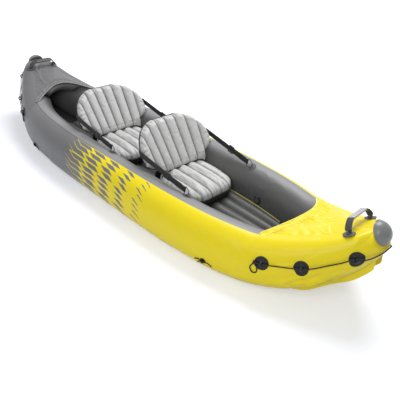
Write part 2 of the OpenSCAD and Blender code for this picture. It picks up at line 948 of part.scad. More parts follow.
// Runs from the backrest to the ring, flat side facing inboard
module strap_run(place) {
  a = strap_start(place);
  b = strap_end(place);
  run = unit(b - a);
  flat = unit(cross(run, [0, 1, 0]));
  out = cross(flat, run);
  loft([for (p = [a, b]) [
    p + strap_w / 2 * flat + strap_t / 2 * out,
    p - strap_w / 2 * flat + strap_t / 2 * out,
    p - strap_w / 2 * flat - strap_t / 2 * out,
    p + strap_w / 2 * flat - strap_t / 2 * out]]);
}

module strap_buckle(place) {
  a = strap_start(place);
  b = strap_end(place);
  d = b - a;
  translate(a + buckle_place * d)
    rotate([0, -atan2(d.z, norm([d.x, d.y])), atan2(d.y, d.x)])
      rotate([90, 0, 0])
        difference() {
          cube([buckle_l, strap_w + 12, buckle_t], center = true);
          cube([buckle_l + 2, strap_w + 2, strap_t + 1.4], center = true);
          for (side = [-1, 1])
            translate([side * buckle_l / 5, 0, buckle_t / 2])
              cube([buckle_l / 5, strap_w, buckle_t], center = true);
        }
}

module front_seat_base() {
  color(webbing_black)
    seat_frame(front_seat_x)
      seat_base();
}

module front_seat_cushion() {
  color(seat_gray)
    seat_frame(front_seat_x)
      seat_cushion();
}

module front_backrest() {
  color(seat_gray)
    seat_frame(front_seat_x)
      backrest();
}

module front_back_panel() {
  color(webbing_black)
    seat_frame(front_seat_x)
      back_panel();
}

module front_back_hinge() {
  color(webbing_black)
    seat_frame(front_seat_x)
      back_hinge();
}

module front_strap_patches() {
  color(plastic_black)
    strap_patches(front_seat_x);
}

module front_strap_rings() {
  color(plastic_black)
    strap_rings(front_seat_x);
}

module front_port_strap() {
  color(webbing_black)
    strap_run(front_seat_x);
}

module front_starboard_strap() {
  color(webbing_black)
    mirror([0, 1, 0])
      strap_run(front_seat_x);
}

module front_port_buckle() {
  color(plastic_black)
    strap_buckle(front_seat_x);
}

module front_starboard_buckle() {
  color(plastic_black)
    mirror([0, 1, 0])
      strap_buckle(front_seat_x);
}

module rear_seat_base() {
  color(webbing_black)
    seat_frame(rear_seat_x)
      seat_base();
}

module rear_seat_cushion() {
  color(seat_gray)
    seat_frame(rear_seat_x)
      seat_cushion();
}

module rear_backrest() {
  color(seat_gray)
    seat_frame(rear_seat_x)
      backrest();
}

module rear_back_panel() {
  color(webbing_black)
    seat_frame(rear_seat_x)
      back_panel();
}

module rear_back_hinge() {
  color(webbing_black)
    seat_frame(rear_seat_x)
      back_hinge();
}

module rear_strap_patches() {
  color(plastic_black)
    strap_patches(rear_seat_x);
}

module rear_strap_rings() {
  color(plastic_black)
    strap_rings(rear_seat_x);
}

module rear_port_strap() {
  color(webbing_black)
    strap_run(rear_seat_x);
}

module rear_starboard_strap() {
  color(webbing_black)
    mirror([0, 1, 0])
      strap_run(rear_seat_x);
}

module rear_port_buckle() {
  color(plastic_black)
    strap_buckle(rear_seat_x);
}

module rear_starboard_buckle() {
  color(plastic_black)
    mirror([0, 1, 0])
      strap_buckle(rear_seat_x);
}

port_side_chamber();
starboard_side_chamber();
inflatable_floor();
bottom_sheet();
bow_bottom_panel();
stern_bottom_panel();
bow_deck();
stern_deck();
bow_deck_roll();
stern_deck_roll();
bow_nose_cap();
stern_nose_cap();
port_valve_body();
port_valve_cap();
starboard_valve_body();
starboard_valve_cap();
floor_valve_body();
floor_valve_cap();
bow_rope_patches();
stern_rope_patches();
bow_grab_line();
stern_grab_line();
tie_patches();
tie_cords();
bow_handle_anchors();
bow_handle_strap();
bow_handle_grip();
stern_handle_anchors();
stern_handle_strap();
stern_handle_grip();
skeg_box();
front_seat_base();
front_seat_cushion();
front_backrest();
front_back_panel();
front_back_hinge();
front_strap_patches();
front_strap_rings();
front_port_strap();
front_starboard_strap();
front_port_buckle();
front_starboard_buckle();
rear_seat_base();
rear_seat_cushion();
rear_backrest();
rear_back_panel();
rear_back_hinge();
rear_strap_patches();
rear_strap_rings();
rear_port_strap();
rear_starboard_strap();
rear_port_buckle();
rear_starboard_buckle();
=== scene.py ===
import math

import bpy
import numpy as np
from mathutils import Matrix, Vector


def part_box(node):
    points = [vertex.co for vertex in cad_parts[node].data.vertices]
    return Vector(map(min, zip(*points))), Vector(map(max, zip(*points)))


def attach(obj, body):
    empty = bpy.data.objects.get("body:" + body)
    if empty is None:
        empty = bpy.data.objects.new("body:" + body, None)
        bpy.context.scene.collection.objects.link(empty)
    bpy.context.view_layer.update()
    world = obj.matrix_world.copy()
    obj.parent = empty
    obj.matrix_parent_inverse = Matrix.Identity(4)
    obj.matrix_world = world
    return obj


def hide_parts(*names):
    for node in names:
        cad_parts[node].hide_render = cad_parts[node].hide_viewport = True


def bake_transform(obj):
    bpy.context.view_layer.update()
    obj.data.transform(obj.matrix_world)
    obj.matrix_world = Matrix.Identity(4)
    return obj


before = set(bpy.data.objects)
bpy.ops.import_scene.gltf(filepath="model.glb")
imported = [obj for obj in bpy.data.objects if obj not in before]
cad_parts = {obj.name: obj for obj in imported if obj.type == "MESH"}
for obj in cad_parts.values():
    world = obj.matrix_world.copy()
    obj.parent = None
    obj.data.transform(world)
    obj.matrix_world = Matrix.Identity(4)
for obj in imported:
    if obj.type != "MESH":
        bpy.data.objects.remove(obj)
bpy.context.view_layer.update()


# Side chambers. Each side of the boat is one long inflated tube of coated vinyl sheet, yellow and
# gray, welded along its length and tapered at both ends. The two tubes are welded together at the
# noses, where they run into one rounded form with a flat for the cap.
both_ends = ((1, "bow"), (-1, "stern"))
both_sides = ((1, "port"), (-1, "starboard"))
hull_half = 1.55
half_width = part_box("port_side_chamber")[1].y
tube_w = 0.25
side_h = 0.295
end_rise = 0.215
nose_half = 0.06
nose_len = 0.08
sheet_t = 0.003
weld_gap = 0.0005
middle_gap = 0.0002
well_half = 1.04
sheer_x = well_half - 0.04
rocker = 0.34
rocker_x = well_half * 10 / 13
chine = 2.6
# Where the tubes start to run into one and over what length, below and above
merge_low, merge_top = (1.27, 0.17), (1.44, 0.05)
cap_x = hull_half - 0.058
cap_tilt = math.radians(52)
cap_height = 0.75
yellow = (0.90, 0.745, 0.010)
yellow_low = (0.72, 0.60, 0.030)
hull_gray = (0.185, 0.183, 0.190)
inner_gray = (0.115, 0.114, 0.113)


def columns(*parts):
    return np.stack(np.broadcast_arrays(*parts), -1)


def crossed(first, second):
    return np.meshgrid(first, second, indexing="ij")


def unit(v):
    return v / np.linalg.norm(v, axis=-1, keepdims=True)


def end_run(x, start):
    return np.clip((np.abs(x) - start) / (hull_half - start), 0, None)


def end_round(x):
    return np.sqrt(np.clip(1 - end_run(x, hull_half - nose_len) ** 2, 0, None))


def half_beam(x):
    taper = np.clip(np.abs(x) / hull_half, 0, 1) ** 3.7
    return (half_width - (half_width - nose_half) * taper) * end_round(x)


def tube_r(x):
    return np.minimum(tube_w / 2, half_beam(x) / 2 - 0.00015)


def tube_y(x):
    return half_beam(x) - tube_r(x)


def tube_top(x):
    return side_h + end_rise * end_run(x, sheer_x) ** 1.5


def tube_low(x):
    return sheet_t + weld_gap + rocker * end_run(x, rocker_x) ** 3.3


def tube_z(x):
    return (tube_top(x) + tube_low(x)) / 2


def tube_v(x):
    return (tube_top(x) - tube_low(x)) / 2 * end_round(x)


def bulge(c, power):
    return np.sign(c) * np.abs(c) ** (2 / power)


def hump(x, width):
    return np.exp(-(x / width) ** 2)


def ease(t):
    t = np.clip(t, 0, 1)
    return t * t * (3 - 2 * t)


def merging(x, where):
    return ease((np.abs(x) - where[0]) / where[1])


def skin(x, turn, off=0.0, merge=True):
    """Points on the port tube, with the turn in degrees from outboard over the top."""
    x, turn = np.broadcast_arrays(np.asarray(x, float), np.asarray(turn, float))
    c, s = np.cos(np.radians(turn)), np.sin(np.radians(turn))
    power = np.where(s < -0.001, chine, 2.0)
    y = tube_y(x) + (tube_r(x) + off) * bulge(c, power)
    z = tube_z(x) + (tube_v(x) + off) * bulge(s, power)
    if merge:
        one = np.where(c > 0, (half_beam(x) + off) * bulge(c, power), middle_gap)
        y = y + np.where(s < 0, merging(x, merge_low), merging(x, merge_top)) * (one - y)
    return columns(x, y, z)


def skin_normal(x, turn):
    """Outward unit normals of the port tube."""
    step = 0.1
    around = skin(x, turn + step, merge=False) - skin(x, turn - step, merge=False)
    along = skin(x + 1e-4, turn, merge=False) - skin(x - 1e-4, turn, merge=False)
    return unit(np.cross(around, along))


def cap_place(end):
    """Middle and outward direction of the flat on the bow nose (end 1) or the stern nose (-1)."""
    middle = np.array([end * cap_x, 0, tube_z(cap_x) + cap_height * tube_v(cap_x)])
    return middle, np.array([end * math.sin(cap_tilt), 0, math.cos(cap_tilt)])


def flat_for_caps(points):
    for end, _ in both_ends:
        middle, out = cap_place(end)
        high = np.clip((points - middle) @ out, 0, None)
        points = points - high[..., None] * out
    return points


def creases(along, around, count, seed, span, reach, depth):
    """Depth in metres of short soft folds scattered over a sheet measured in metres."""
    rng = np.random.default_rng(seed)
    total = np.zeros(np.broadcast(along, around).shape)
    for _ in range(count):
        a0, b0 = rng.uniform(*span[0]), rng.uniform(*span[1])
        lean = rng.normal(0, 0.35)
        length, width = rng.uniform(0.5, 1) * reach, rng.uniform(0.006, 0.014)
        da, db = along - a0, around - b0
        run = da * math.cos(lean) + db * math.sin(lean)
        off = db * math.cos(lean) - da * math.sin(lean) - 0.3 * run * run / length
        ridge = hump(off, width) - 0.6 * hump(off - 1.6 * width, width)
        total += rng.uniform(0.4, 1) * depth * hump(run, length) * ridge
    return total


def grid_faces(rows, cols, wrap=True, closed=False):
    """Corners of the faces between rows of points, where wrap closes each row and closed the rows."""
    i, j = crossed(np.arange(rows if closed else rows - 1), np.arange(cols if wrap else cols - 1))
    here, there, k = i * cols, (i + 1) % rows * cols, (j + 1) % cols
    return columns(here + j, here + k, there + k, there + j).reshape(-1, 4)


def end_faces(rows, cols):
    return [list(range(cols))[::-1], list(range((rows - 1) * cols, rows * cols))]


def new_piece(name, verts, faces):
    mesh = bpy.data.meshes.new(name)
    mesh.from_pydata(verts.reshape(-1, 3).tolist(), [], faces)
    mesh.shade_smooth()
    piece = bpy.data.objects.new(name, mesh)
    bpy.context.scene.collection.objects.link(piece)
    return piece


def grid_piece(name, points, uv=None, wrap=False, flip=False, capped=False):
    """An object from rows of points, each row closed on itself where wrap is set."""
    rows, cols = points.shape[:2]
    order = [0, 3, 2, 1] if flip else [0, 1, 2, 3]
    faces = grid_faces(rows, cols, wrap)[:, order].tolist()
    if capped:
        faces += [face[::-1] if flip else face for face in end_faces(rows, cols)]
    piece = new_piece(name, points, faces)
    if uv is not None:
        at = uv.reshape(-1, 2)[grid_faces(rows, uv.shape[1], wrap=False)][:, order].reshape(-1, 2)
        spare = np.zeros((len(piece.data.loops) - len(at), 2))
        piece.data.uv_layers.new(name="UVMap").data.foreach_set(
            "uv", np.concatenate([at, spare]).astype(np.float32).ravel())
    return piece


def join(piece, material, node=None, body="hull"):
    """Gives a piece its material, its solid and its body, unless it bends between two."""
    piece.data.materials.append(material)
    if body:
        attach(piece, body)
    if node:
        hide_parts(node)


class Value:
    """A shader socket that can be used in sums."""

    def __init__(self, tree, socket):
        self.tree, self.socket = tree, socket

    def node(self, kind, sockets, out=0, **settings):
        made = self.tree.nodes.new("ShaderNode" + kind)
        for name, setting in settings.items():
            setattr(made, name, setting)
        for name, given in sockets.items():
            if isinstance(given, Value):
                self.tree.links.new(given.socket, made.inputs[name])
            else:
                made.inputs[name].default_value = given
        return Value(self.tree, made.outputs[out])

    def math(self, operation, *others):
        return self.node("Math", dict(enumerate((self, *others))), operation=operation)

    def __add__(self, other):
        return self.math("ADD", other)

    def __sub__(self, other):
        return self.math("SUBTRACT", other)

    def __rsub__(self, other):
        return self.node("Math", {0: other, 1: self}, operation="SUBTRACT")

    def __mul__(self, other):
        return self.math("MULTIPLY", other)

    def __truediv__(self, other):
        return self.math("DIVIDE", other)

    def __gt__(self, other):
        return self.math("GREATER_THAN", other)

    def __lt__(self, other):
        return self.math("LESS_THAN", other)

    __radd__, __rmul__ = __add__, __mul__

    def between(self, low, high):
        """0 below low and 1 above high, eased in between."""
        return self.node("MapRange", {"Value": self, "From Min": low, "From Max": high},
                         interpolation_type="SMOOTHSTEP")

    def blend(self, *colors):
        """The first color where this is 0 and the second where it is 1."""
        first, second = (color if isinstance(color, Value) else (*color, 1) for color in colors)
        return self.node("Mix", {0: self, 6: first, 7: second}, out=2, data_type="RGBA")

    def split(self):
        return [self.node("SeparateXYZ", {0: self}, out=i) for i in range(3)]

    def noise(self, scale, detail=3.0):
        return self.node("TexNoise", {"Vector": self, "Scale": scale, "Detail": detail})


def finish_of(name, roughness, specular=0.5):
    """A new material, with its shader and the places on the object to work from."""
    made = bpy.data.materials.new(name)
    made.use_nodes = True
    tree = made.node_tree
    shader = tree.nodes["Principled BSDF"]
    shader.inputs["Roughness"].default_value = roughness
    shader.inputs["Specular IOR Level"].default_value = specular
    place = Value(tree, tree.nodes.new("ShaderNodeTexCoord").outputs["Object"])
    return made, shader, place


def feed(shader, **given):
    """Links values to the shader's sockets, with bump as a height in metres."""
    for name, value in given.items():
        if name == "bump":
            height, strength = value
            value = height.node("Bump", {"Height": height, "Strength": strength, "Distance": 1.0})
            name = "Normal"
        value.tree.links.new(value.socket, shader.inputs[name.replace("_", " ")])


def sheet_uv(place):
    """The along and around values that a sheet's own map holds."""
    return place.node("UVMap", {}, uv_map="UVMap").split()[:2]


# The fade from gray to yellow is printed as slanted bars in staggered rows that shorten to the bow
tube_girth = 0.86
fade_from, fade_to = -0.42, 0.44
bar_pitch, bar_row, bar_slant = 0.15, 0.031, 2.4
hull_vinyl, hull_shader, hull_at = finish_of("hull_vinyl", 0.34, 0.3)
along, around = sheet_uv(hull_at)
girth = around * tube_girth
row = (girth / bar_row).math("FLOOR")
across_row = (girth / bar_row).math("FRACT")
shift = (row * 0.5).math("FRACT") + (row * 2.4).math("SINE") * 0.1
cell = (along + girth * bar_slant) / bar_pitch + shift
bar = (cell.math("FRACT") - 0.5).math("ABSOLUTE") * 2
step = (cell.math("FLOOR") + 0.5 - shift) * bar_pitch - girth * bar_slant
gone = (step - fade_from) / (fade_to - fade_from)
rim = (across_row - 0.5).math("ABSOLUTE") * 2
stern_share = (bar < 1.12 - gone * 1.15) * (rim < 0.74).math("MAXIMUM", gone < 0.16)
abeam = along.math("ABSOLUTE") / well_half
band_from = (79 + 2 * abeam.math("POWER", 2.2).math("MINIMUM", 1.0)) / 360
inside = around > band_from
low = 1 - around.between(-0.135, -0.085)
cloud = hull_at.noise(9.0)
fine = hull_at.noise(420.0, 2.0)
scuff = hull_at.noise(38.0, 5.0).between(0.56, 0.80)
mottled_yellow = (cloud * 0.6).blend(yellow, (0.86, 0.68, 0.010))
# The yellow turns darker and more olive towards the bottom of the tube.
mottled_yellow = (low * 0.8).blend(mottled_yellow, yellow_low)
worn_gray = (cloud * 0.6).blend(hull_gray, (0.150, 0.149, 0.155))
outer = stern_share.blend(mottled_yellow, worn_gray)
inner = (cloud * 0.6).blend(inner_gray, (0.09, 0.09, 0.089))
band = around.between(0.26, 0.37).blend((0.27, 0.27, 0.278), inner)
weld = (around - band_from).math("ABSOLUTE") < 0.0028
seam = weld * (1 - along.between(-0.30, 0.05))
tone = seam.blend(inside.blend(outer, band), (0.07, 0.07, 0.07))
feed(hull_shader, Base_Color=(scuff * 0.05).blend(tone, (0.5, 0.5, 0.48)),
     Roughness=0.30 + cloud * 0.12 + scuff * 0.08, bump=(fine * 0.00012 + cloud * 0.0006, 0.5))

# Places along (m) and turns (degrees) where a fitting is welded on and the sheet lies smooth
patch_spots = ((0.428, 16), (0.264, 8), (0.081, 2))
tie_x, tie_turn = 0.831, -22
knot_x, knot_turn = hull_half - 0.458, 17
smooth_spots = [(hull_half - back, turn) for back, turn in patch_spots]
smooth_spots += [(tie_x, tie_turn), (knot_x, knot_turn), (knot_x, -2), (0.705, 180)]
smooth_r = 0.052
turn_r = 0.137
# Folds: seed, count, places along and around (m), length and depth (m)
fold_groups = ((0, 30, ((0.75, 1.40), (-0.16, 0.05)), 0.11, 0.0042),
               (1, 22, ((-1.35, -0.75), (-0.16, 0.05)), 0.11, 0.0024),
               (5, 16, ((1.20, 1.44), (-0.15, -0.04)), 0.10, 0.0065),
               (2, 46, ((-1.2, 1.2), (-0.2, -0.09)), 0.16, 0.0022),
               (3, 60, ((-1.1, 1.1), (0.26, 0.50)), 0.07, 0.0018))
tip_x = 1.40
tip_steps = np.linspace(tip_x, hull_half - 0.0004, 60)
along_steps = np.concatenate([-tip_steps[::-1], np.linspace(-tip_x, tip_x, 220)[1:-1], tip_steps])
turn_steps = np.linspace(-90, 270, 108, endpoint=False)
x_grid, turn_grid = crossed(along_steps, turn_steps)
around_m = np.radians(turn_grid) * turn_r
skin_uv = columns(*crossed(along_steps, np.append(turn_steps, 270) / 360))
out_at = skin_normal(np.clip(x_grid, -1.54, 1.54), turn_grid)
for side, label in both_sides:
    first_seed = 11 if side > 0 else 4
    folds = sum(creases(x_grid, around_m, count, first_seed + seed, span, reach, depth)
                for seed, count, span, reach, depth in fold_groups)
    folds += 0.0011 * hump(turn_grid + 24 + 1.5 * np.sin(5 * x_grid), 2.2)
    folds += 0.0010 * hump(turn_grid + 38 + 2 * np.sin(4 * x_grid + 1), 2.6)
    folds *= ease((1.50 - np.abs(x_grid)) / 0.1)
    for spot_x, spot_turn in smooth_spots:
        near = np.hypot(np.abs(x_grid) - spot_x, (turn_grid - spot_turn) * 0.0024)
        folds *= 1 - np.exp(-(near / smooth_r) ** 6)
    under_lap = ease((np.abs(x_grid) - 0.99) / 0.05) * ease((turn_grid - 36) / 8)
    points = skin(x_grid, turn_grid) + (folds * (1 - under_lap))[..., None] * out_at
    points[..., 1] = np.maximum(points[..., 1], middle_gap)
    points = flat_for_caps(points) * [1, side, 1]
    chamber = grid_piece(f"{label}_side_skin", points, skin_uv, wrap=True, flip=side < 0, capped=True)
    join(chamber, hull_vinyl, f"{label}_side_chamber")


# Decks. A crowned sheet of the same vinyl covers each end, lapped and welded onto both tubes. Its
# open edge is doubled with a welded strip, and the sheet draws into small puckers beside the welds.
deck_end = hull_half - nose_len + 0.002
hem_sweep = 0.09
deck_crown = 0.045
deck_lift = 0.0035
lap_turn = 45
strip_w, strip_t = 0.030, 0.0024
fold_t, under_t = 0.0022, 0.0028
under_rows = 17


def hem_x(f):
    return well_half + hem_sweep * (1 - f * f)


def deck(run, f, off=0.0):
    """Points on the bow deck: run from the hem (0) to the nose (1), f across from -1 to 1."""
    run, f = np.broadcast_arrays(np.asarray(run, float), np.asarray(f, float))
    x = hem_x(f) + (deck_end - hem_x(f)) * run
    top = tube_top(x) + off + deck_crown * (1 - run) * (1 - f * f)
    return columns(x, f * skin(x, 90.0)[..., 1], top)


def clouded(name, color, dark, rough=(0.4, 0.32, 0.2), specular=0.5, scale=60.0, share=1.0,
            grain=(800.0, 2.0, 0.00015), swell=0.0, strength=0.5):
    """Vinyl or plastic with clouds in its color and gloss, a fine grain and a soft swell."""
    mean, least, spread = rough
    made, shader, at = finish_of(name, mean, specular)
    cloud = at.noise(scale)
    size, detail, depth = grain
    feed(shader, Base_Color=(cloud * share).blend(color, dark), Roughness=least + cloud * spread,
         bump=(at.noise(size, detail) * depth + cloud * swell, strength))
    return made


def deck_finish(name, color, dark):
    return clouded(name, color, dark, (0.33, 0.27, 0.14), 0.35, 11.0, 0.7, (420.0, 2.0, 0.00012), 0.0006)


deck_vinyl = {1: deck_finish("deck_yellow", yellow, (0.85, 0.67, 0.010)),
              -1: deck_finish("deck_gray", hull_gray, (0.14, 0.14, 0.145))}
run_steps = np.concatenate([np.linspace(0, 0.22, 44, endpoint=False), np.linspace(0.22, 1, 64)])
lap_steps = np.linspace(90, 90 - lap_turn, 15)[1:]
lap_lift = deck_lift * (1 - 0.85 * np.linspace(0, 1, len(lap_steps) + 1)[1:])
run_grid, cross_grid = crossed(run_steps, np.linspace(-1, 1, 121))
for end, label in both_ends:
    body = deck(run_grid, cross_grid, deck_lift)
    deck_x = body[..., 0]
    back = deck_x - hem_x(cross_grid)
    edge = 1 - np.abs(cross_grid)
    strip = strip_t * ease((strip_w - back) / 0.004) + 0.0038 * hump(back - 0.034, 0.006)
    pucker = 0.0030 * np.sin(130 * cross_grid + 3 * np.sin(9 * cross_grid)) * hump(back - 0.05, 0.03)
    gather = 0.0030 * np.sin(95 * deck_x + 2 * np.sin(31 * deck_x))
    pucker += gather * hump(edge, 0.10) * ease(edge / 0.05)
    folds = creases(deck_x, body[..., 1], 36, 31 + end, ((1.05, 1.42), (-0.30, 0.30)), 0.09, 0.0044)
    soft = (pucker + folds * ease(edge / 0.2)) * ease((1 - run_grid) / 0.12)
    body[..., 2] += (strip + soft) * ease(edge / 0.02)
    laps = [skin(body[:, [column], 0], lap_steps[None], lap_lift[None]) * [1, side, 1]
            for side, column in ((-1, 0), (1, -1))]
    top = np.concatenate([laps[0][:, ::-1], body, laps[1]], 1)
    fold_in = top[:1] - [0.0, 0.0, fold_t]
    under = top[1:under_rows + 1] - [0.0, 0.0, under_t]
    points = np.concatenate([under[::-1], fold_in, top], 0)
    points = flat_for_caps(points) * [end, 1, 1]
    cover = grid_piece(f"{label}_deck_sheet", points, flip=end > 0)
    join(cover, deck_vinyl[end], f"{label}_deck")


# Deck rolls. A padded roll of the gray vinyl is welded under the open edge of each deck, thick at the
# middle and tapered to both ends, so that the edge stands up as an arch.
roll_r = 0.036
roll_reach = 0.86


def skin_over(x, y):
    reach = np.clip(1 - ((tube_y(x) - np.abs(y)) / tube_r(x)) ** 2, 0, None)
    return tube_z(x) + tube_v(x) * np.sqrt(reach)


def roll_line(f):
    """Middle and radius of the bow roll at places across from -1 to 1."""
    span = hull_half - nose_len - 0.02 - hem_x(f)
    under = deck(roll_r / span, f)
    under[..., 1] = f * tube_y(under[..., 0])
    size = np.minimum(roll_r, 0.42 * (under[..., 2] - skin_over(under[..., 0], under[..., 1])))
    under[..., 2] -= size
    return under, size


roll_vinyl = clouded("roll_gray", (0.15, 0.15, 0.153), (0.11, 0.11, 0.113), (0.24, 0.2, 0.12), 0.6, 14.0,
                     grain=(300.0, 3.0, 0.00012), swell=0.0008, strength=0.6)
roll_f = roll_reach * np.linspace(-1, 1, 121)
roll_middle, roll_size = roll_line(roll_f)
roll_turn = np.linspace(0, 2 * np.pi, 28, endpoint=False)
roll_ring = columns(np.cos(roll_turn), 0, np.sin(roll_turn))
roll_pucker = np.sin(64 * roll_f + 2 * np.sin(13 * roll_f))[:, None] * np.cos(roll_turn - 1.6)[None] ** 4
roll_out = (roll_size[:, None] * (1 + 0.05 * roll_pucker))[..., None] * roll_ring[None]
for end, label in both_ends:
    points = (roll_middle[:, None] + roll_out) * [end, 1, 1]
    roll = grid_piece(f"{label}_roll", points, wrap=True, flip=end < 0, capped=True)
    join(roll, roll_vinyl, f"{label}_deck_roll")


# Floor. An inflated mat of dark gray vinyl with five lengthwise channels fills the space between the
# tubes. Its edges are welded to them with a pale bead, and a boss near the stern takes the air valve.
floor_half = well_half * 12 / 13
floor_lobes, lobe_h = 5, 0.024
floor_edge = 195
valve_x = 0.25 - well_half
boss_r, boss_run, boss_h = 0.052, 0.022, 0.005
floor_top = skin(0.0, floor_edge, weld_gap)[2] + lobe_h


def round_in(distance, r, least=0.0):
    """A quarter round that rises from 0 at an edge to 1 at the distance r from it."""
    return np.sqrt(np.clip(1 - (1 - np.clip(distance / r, 0, 1)) ** 2, least, 1))


floor_x = np.linspace(-floor_half, floor_half, 200)
fx, ff = crossed(floor_x, np.linspace(0, 1, floor_lobes * 20 + 1))
seam_line = skin(fx, floor_edge, weld_gap)
swell = np.abs(np.sin(np.pi * ff * floor_lobes)) ** 0.6 * round_in(floor_half - np.abs(fx), 0.05)
gather = 0.0014 * np.sin(fx * 150 + 4 * np.sin(fx * 23) + 9 * ff) * (1 - swell) ** 2
floor_y = seam_line[..., 1] * (1 - 2 * ff)
boss = ease((boss_r - np.hypot(fx - valve_x, floor_y)) / boss_run)
floor_z = seam_line[..., 2] + lobe_h * swell + gather
floor_z = floor_z + boss * (floor_top + boss_h - floor_z)
upper = columns(fx, floor_y, floor_z)
flank = skin(floor_x[:, None], np.linspace(floor_edge + 8, 255, 8)[None], weld_gap)
mat_points = np.concatenate([flank[:, ::-1], upper, flank * [1, -1, 1]], 1)
mat = grid_piece("channel_floor", mat_points, wrap=True, capped=True)
floor_vinyl = clouded("floor_gray", (0.075, 0.074, 0.072), (0.052, 0.052, 0.05), (0.42, 0.36, 0.15),
                      scale=12.0, grain=(700.0, 2.0, 0.00025), swell=0.0006, strength=0.6)
join(mat, floor_vinyl, "inflatable_floor")

bead_vinyl, bead_shader, bead_at = finish_of("weld_bead", 0.4)
feed(bead_shader, Base_Color=bead_at.noise(60.0).blend((0.95, 0.88, 0.34), (0.84, 0.76, 0.26)))
bead_x = np.linspace(-floor_half + 0.06, floor_half - 0.06, 160)
# The bead's turns from the floor's edge and its heights
bead_rows = ((-6.0, 0.0002), (-3.1, 0.0030), (-0.2, 0.0002))
for side, label in both_sides:
    rows = [skin(bead_x, floor_edge + turn, lift) * [1, side, 1] for turn, lift in bead_rows]
    bead = grid_piece(f"{label}_floor_bead", np.stack(rows, 1), flip=side > 0)
    join(bead, bead_vinyl)


# Bottom. A flat sheet of thick gray vinyl closes the hull below, with a yellow panel that rises to the
# bow and a gray one to the stern, each lapped on the tubes and welded along both edges.
rise_end = 1.404
bottom_t = 0.0018


def bottom_under(x, f):
    """Points just below the tubes, across from -1 to 1 between their lowest lines."""
    x, f = np.broadcast_arrays(np.asarray(x, float), np.asarray(f, float))
    y = f * tube_y(x)
    lobe = np.clip(np.abs(y) / half_beam(x), 0, 1)
    one = tube_z(x) - tube_v(x) * (1 - lobe ** chine) ** (1 / chine)
    share = merging(x, merge_low)
    return columns(x, y, tube_low(x) * (1 - share) + one * share - 0.0012)


def bottom_finish(name, color, dark):
    made, shader, at = finish_of(name, 0.45)
    rib = (at.split()[1] * 400.0).math("SINE")
    cloud = at.noise(10.0)
    feed(shader, Base_Color=cloud.blend(color, dark), Roughness=0.4 + cloud * 0.15,
         bump=(rib * 0.0002 + cloud * 0.0005, 0.5))
    return made


def both_faces(top, low):
    """Rows of points that run over the top and back along the low side."""
    return np.concatenate([top, low[:, ::-1]], 1)


rise_start = rocker_x + 0.0005
for label, node, start, stop, end, color, dark in (
        ("bottom_mat", "bottom_sheet", -rocker_x, rocker_x, -1, (0.10, 0.10, 0.10), (0.075, 0.075, 0.075)),
        ("bow_rise", "bow_bottom_panel", rise_start, rise_end, 1, (0.66, 0.54, 0.03), (0.58, 0.46, 0.028)),
        ("stern_rise", "stern_bottom_panel", -rise_end, -rise_start, -1,
         (0.12, 0.12, 0.122), (0.09, 0.09, 0.092))):
    bx, bf = crossed(np.linspace(start, stop, 70), np.linspace(-1, 1, 41))
    top = bottom_under(bx, bf)
    low = top.copy()
    low[..., 2] = np.maximum(low[..., 2] - bottom_t * ease((1 - np.abs(bf)) / 0.05), 0.0)
    panel = grid_piece(f"{label}_panel", both_faces(top, low), wrap=True, capped=True)
    join(panel, bottom_finish(f"{label}_vinyl", color, dark), node)


# Nose caps. A moulded gray disc, domed and satin, with a rolled rim and a groove inside it, is welded
# on the flat of each nose where the ends of the sheets meet.
cap_r_mm, cap_h_mm = 60, 46


def lathe(profile, sides=72):
    """Corner points and faces of a profile of radius and height in mm turned round the Z axis."""
    profile = np.array(profile, float) / 1000
    angle = np.linspace(0, 2 * np.pi, sides, endpoint=False)
    ring = profile[:, None, :1] * columns(np.cos(angle), np.sin(angle))[None]
    high = np.broadcast_to(profile[:, None, 1:], (*ring.shape[:2], 1))
    n = len(profile)
    verts = np.concatenate([ring, high], -1).reshape(-1, 3)
    return verts, grid_faces(n, sides).tolist() + end_faces(n, sides)


def facing(faces, mirror):
    return [face[::-1] for face in faces] if np.prod(mirror) < 0 else faces


def moved(part, turn, shift, mirror=(1, 1, 1)):
    """A part turned by the columns of turn, shifted, then mirrored."""
    return (part[0] @ np.array(turn).T + shift) * mirror, facing(part[1], mirror)


def fitting(name, parts):
    """One object from several parts, with edges sharper than 38 degrees kept."""
    faces, first = [], 0
    for points, corners in parts:
        faces += [[c + first for c in corner] for corner in corners]
        first += len(points)
    piece = new_piece(name, np.concatenate([points for points, _ in parts]), faces)
    piece.data.set_sharp_from_angle(angle=math.radians(38))
    return piece


dome_r_mm = (cap_r_mm ** 2 + cap_h_mm ** 2) / (2 * cap_h_mm)
dome = [(r, 0.5 + cap_h_mm - dome_r_mm + math.sqrt(dome_r_mm ** 2 - r * r))
        for r in (cap_r_mm - 6) * np.sin(np.linspace(np.pi / 2, 0.01, 30))]
cap_rim = ((-4.0, 0.3), (-0.5, 0.6), (0.2, 2.5), (-0.8, 5.2), (-2.5, 6.6), (-4.2, 7.4), (-5.2, 9.2))
cap_part = lathe([*((cap_r_mm + off, high) for off, high in cap_rim), *dome], 96)
cap_vinyl = clouded("cap_gray", (0.20, 0.205, 0.20), (0.155, 0.16, 0.157), (0.3, 0.24, 0.12), 0.6, 30.0,
                    grain=(500.0, 3.0, 0.0001))
cap_middle, cap_out = cap_place(1)
cap_turn = columns(np.cross([0, 1, 0], cap_out), [0, 1, 0], cap_out)
for end, label in both_ends:
    cap = fitting(f"{label}_nose_dome", [moved(cap_part, cap_turn, cap_middle, (end, 1, 1))])
    join(cap, cap_vinyl, f"{label}_nose_cap")


# Grab lines. A black braided rope runs on each end from a tie behind the first patch, through the
# moulded loops of the patches, round the nose under the cap and back along the other side.
line_r = 0.003
strands, strand_lay = 3, 0.012
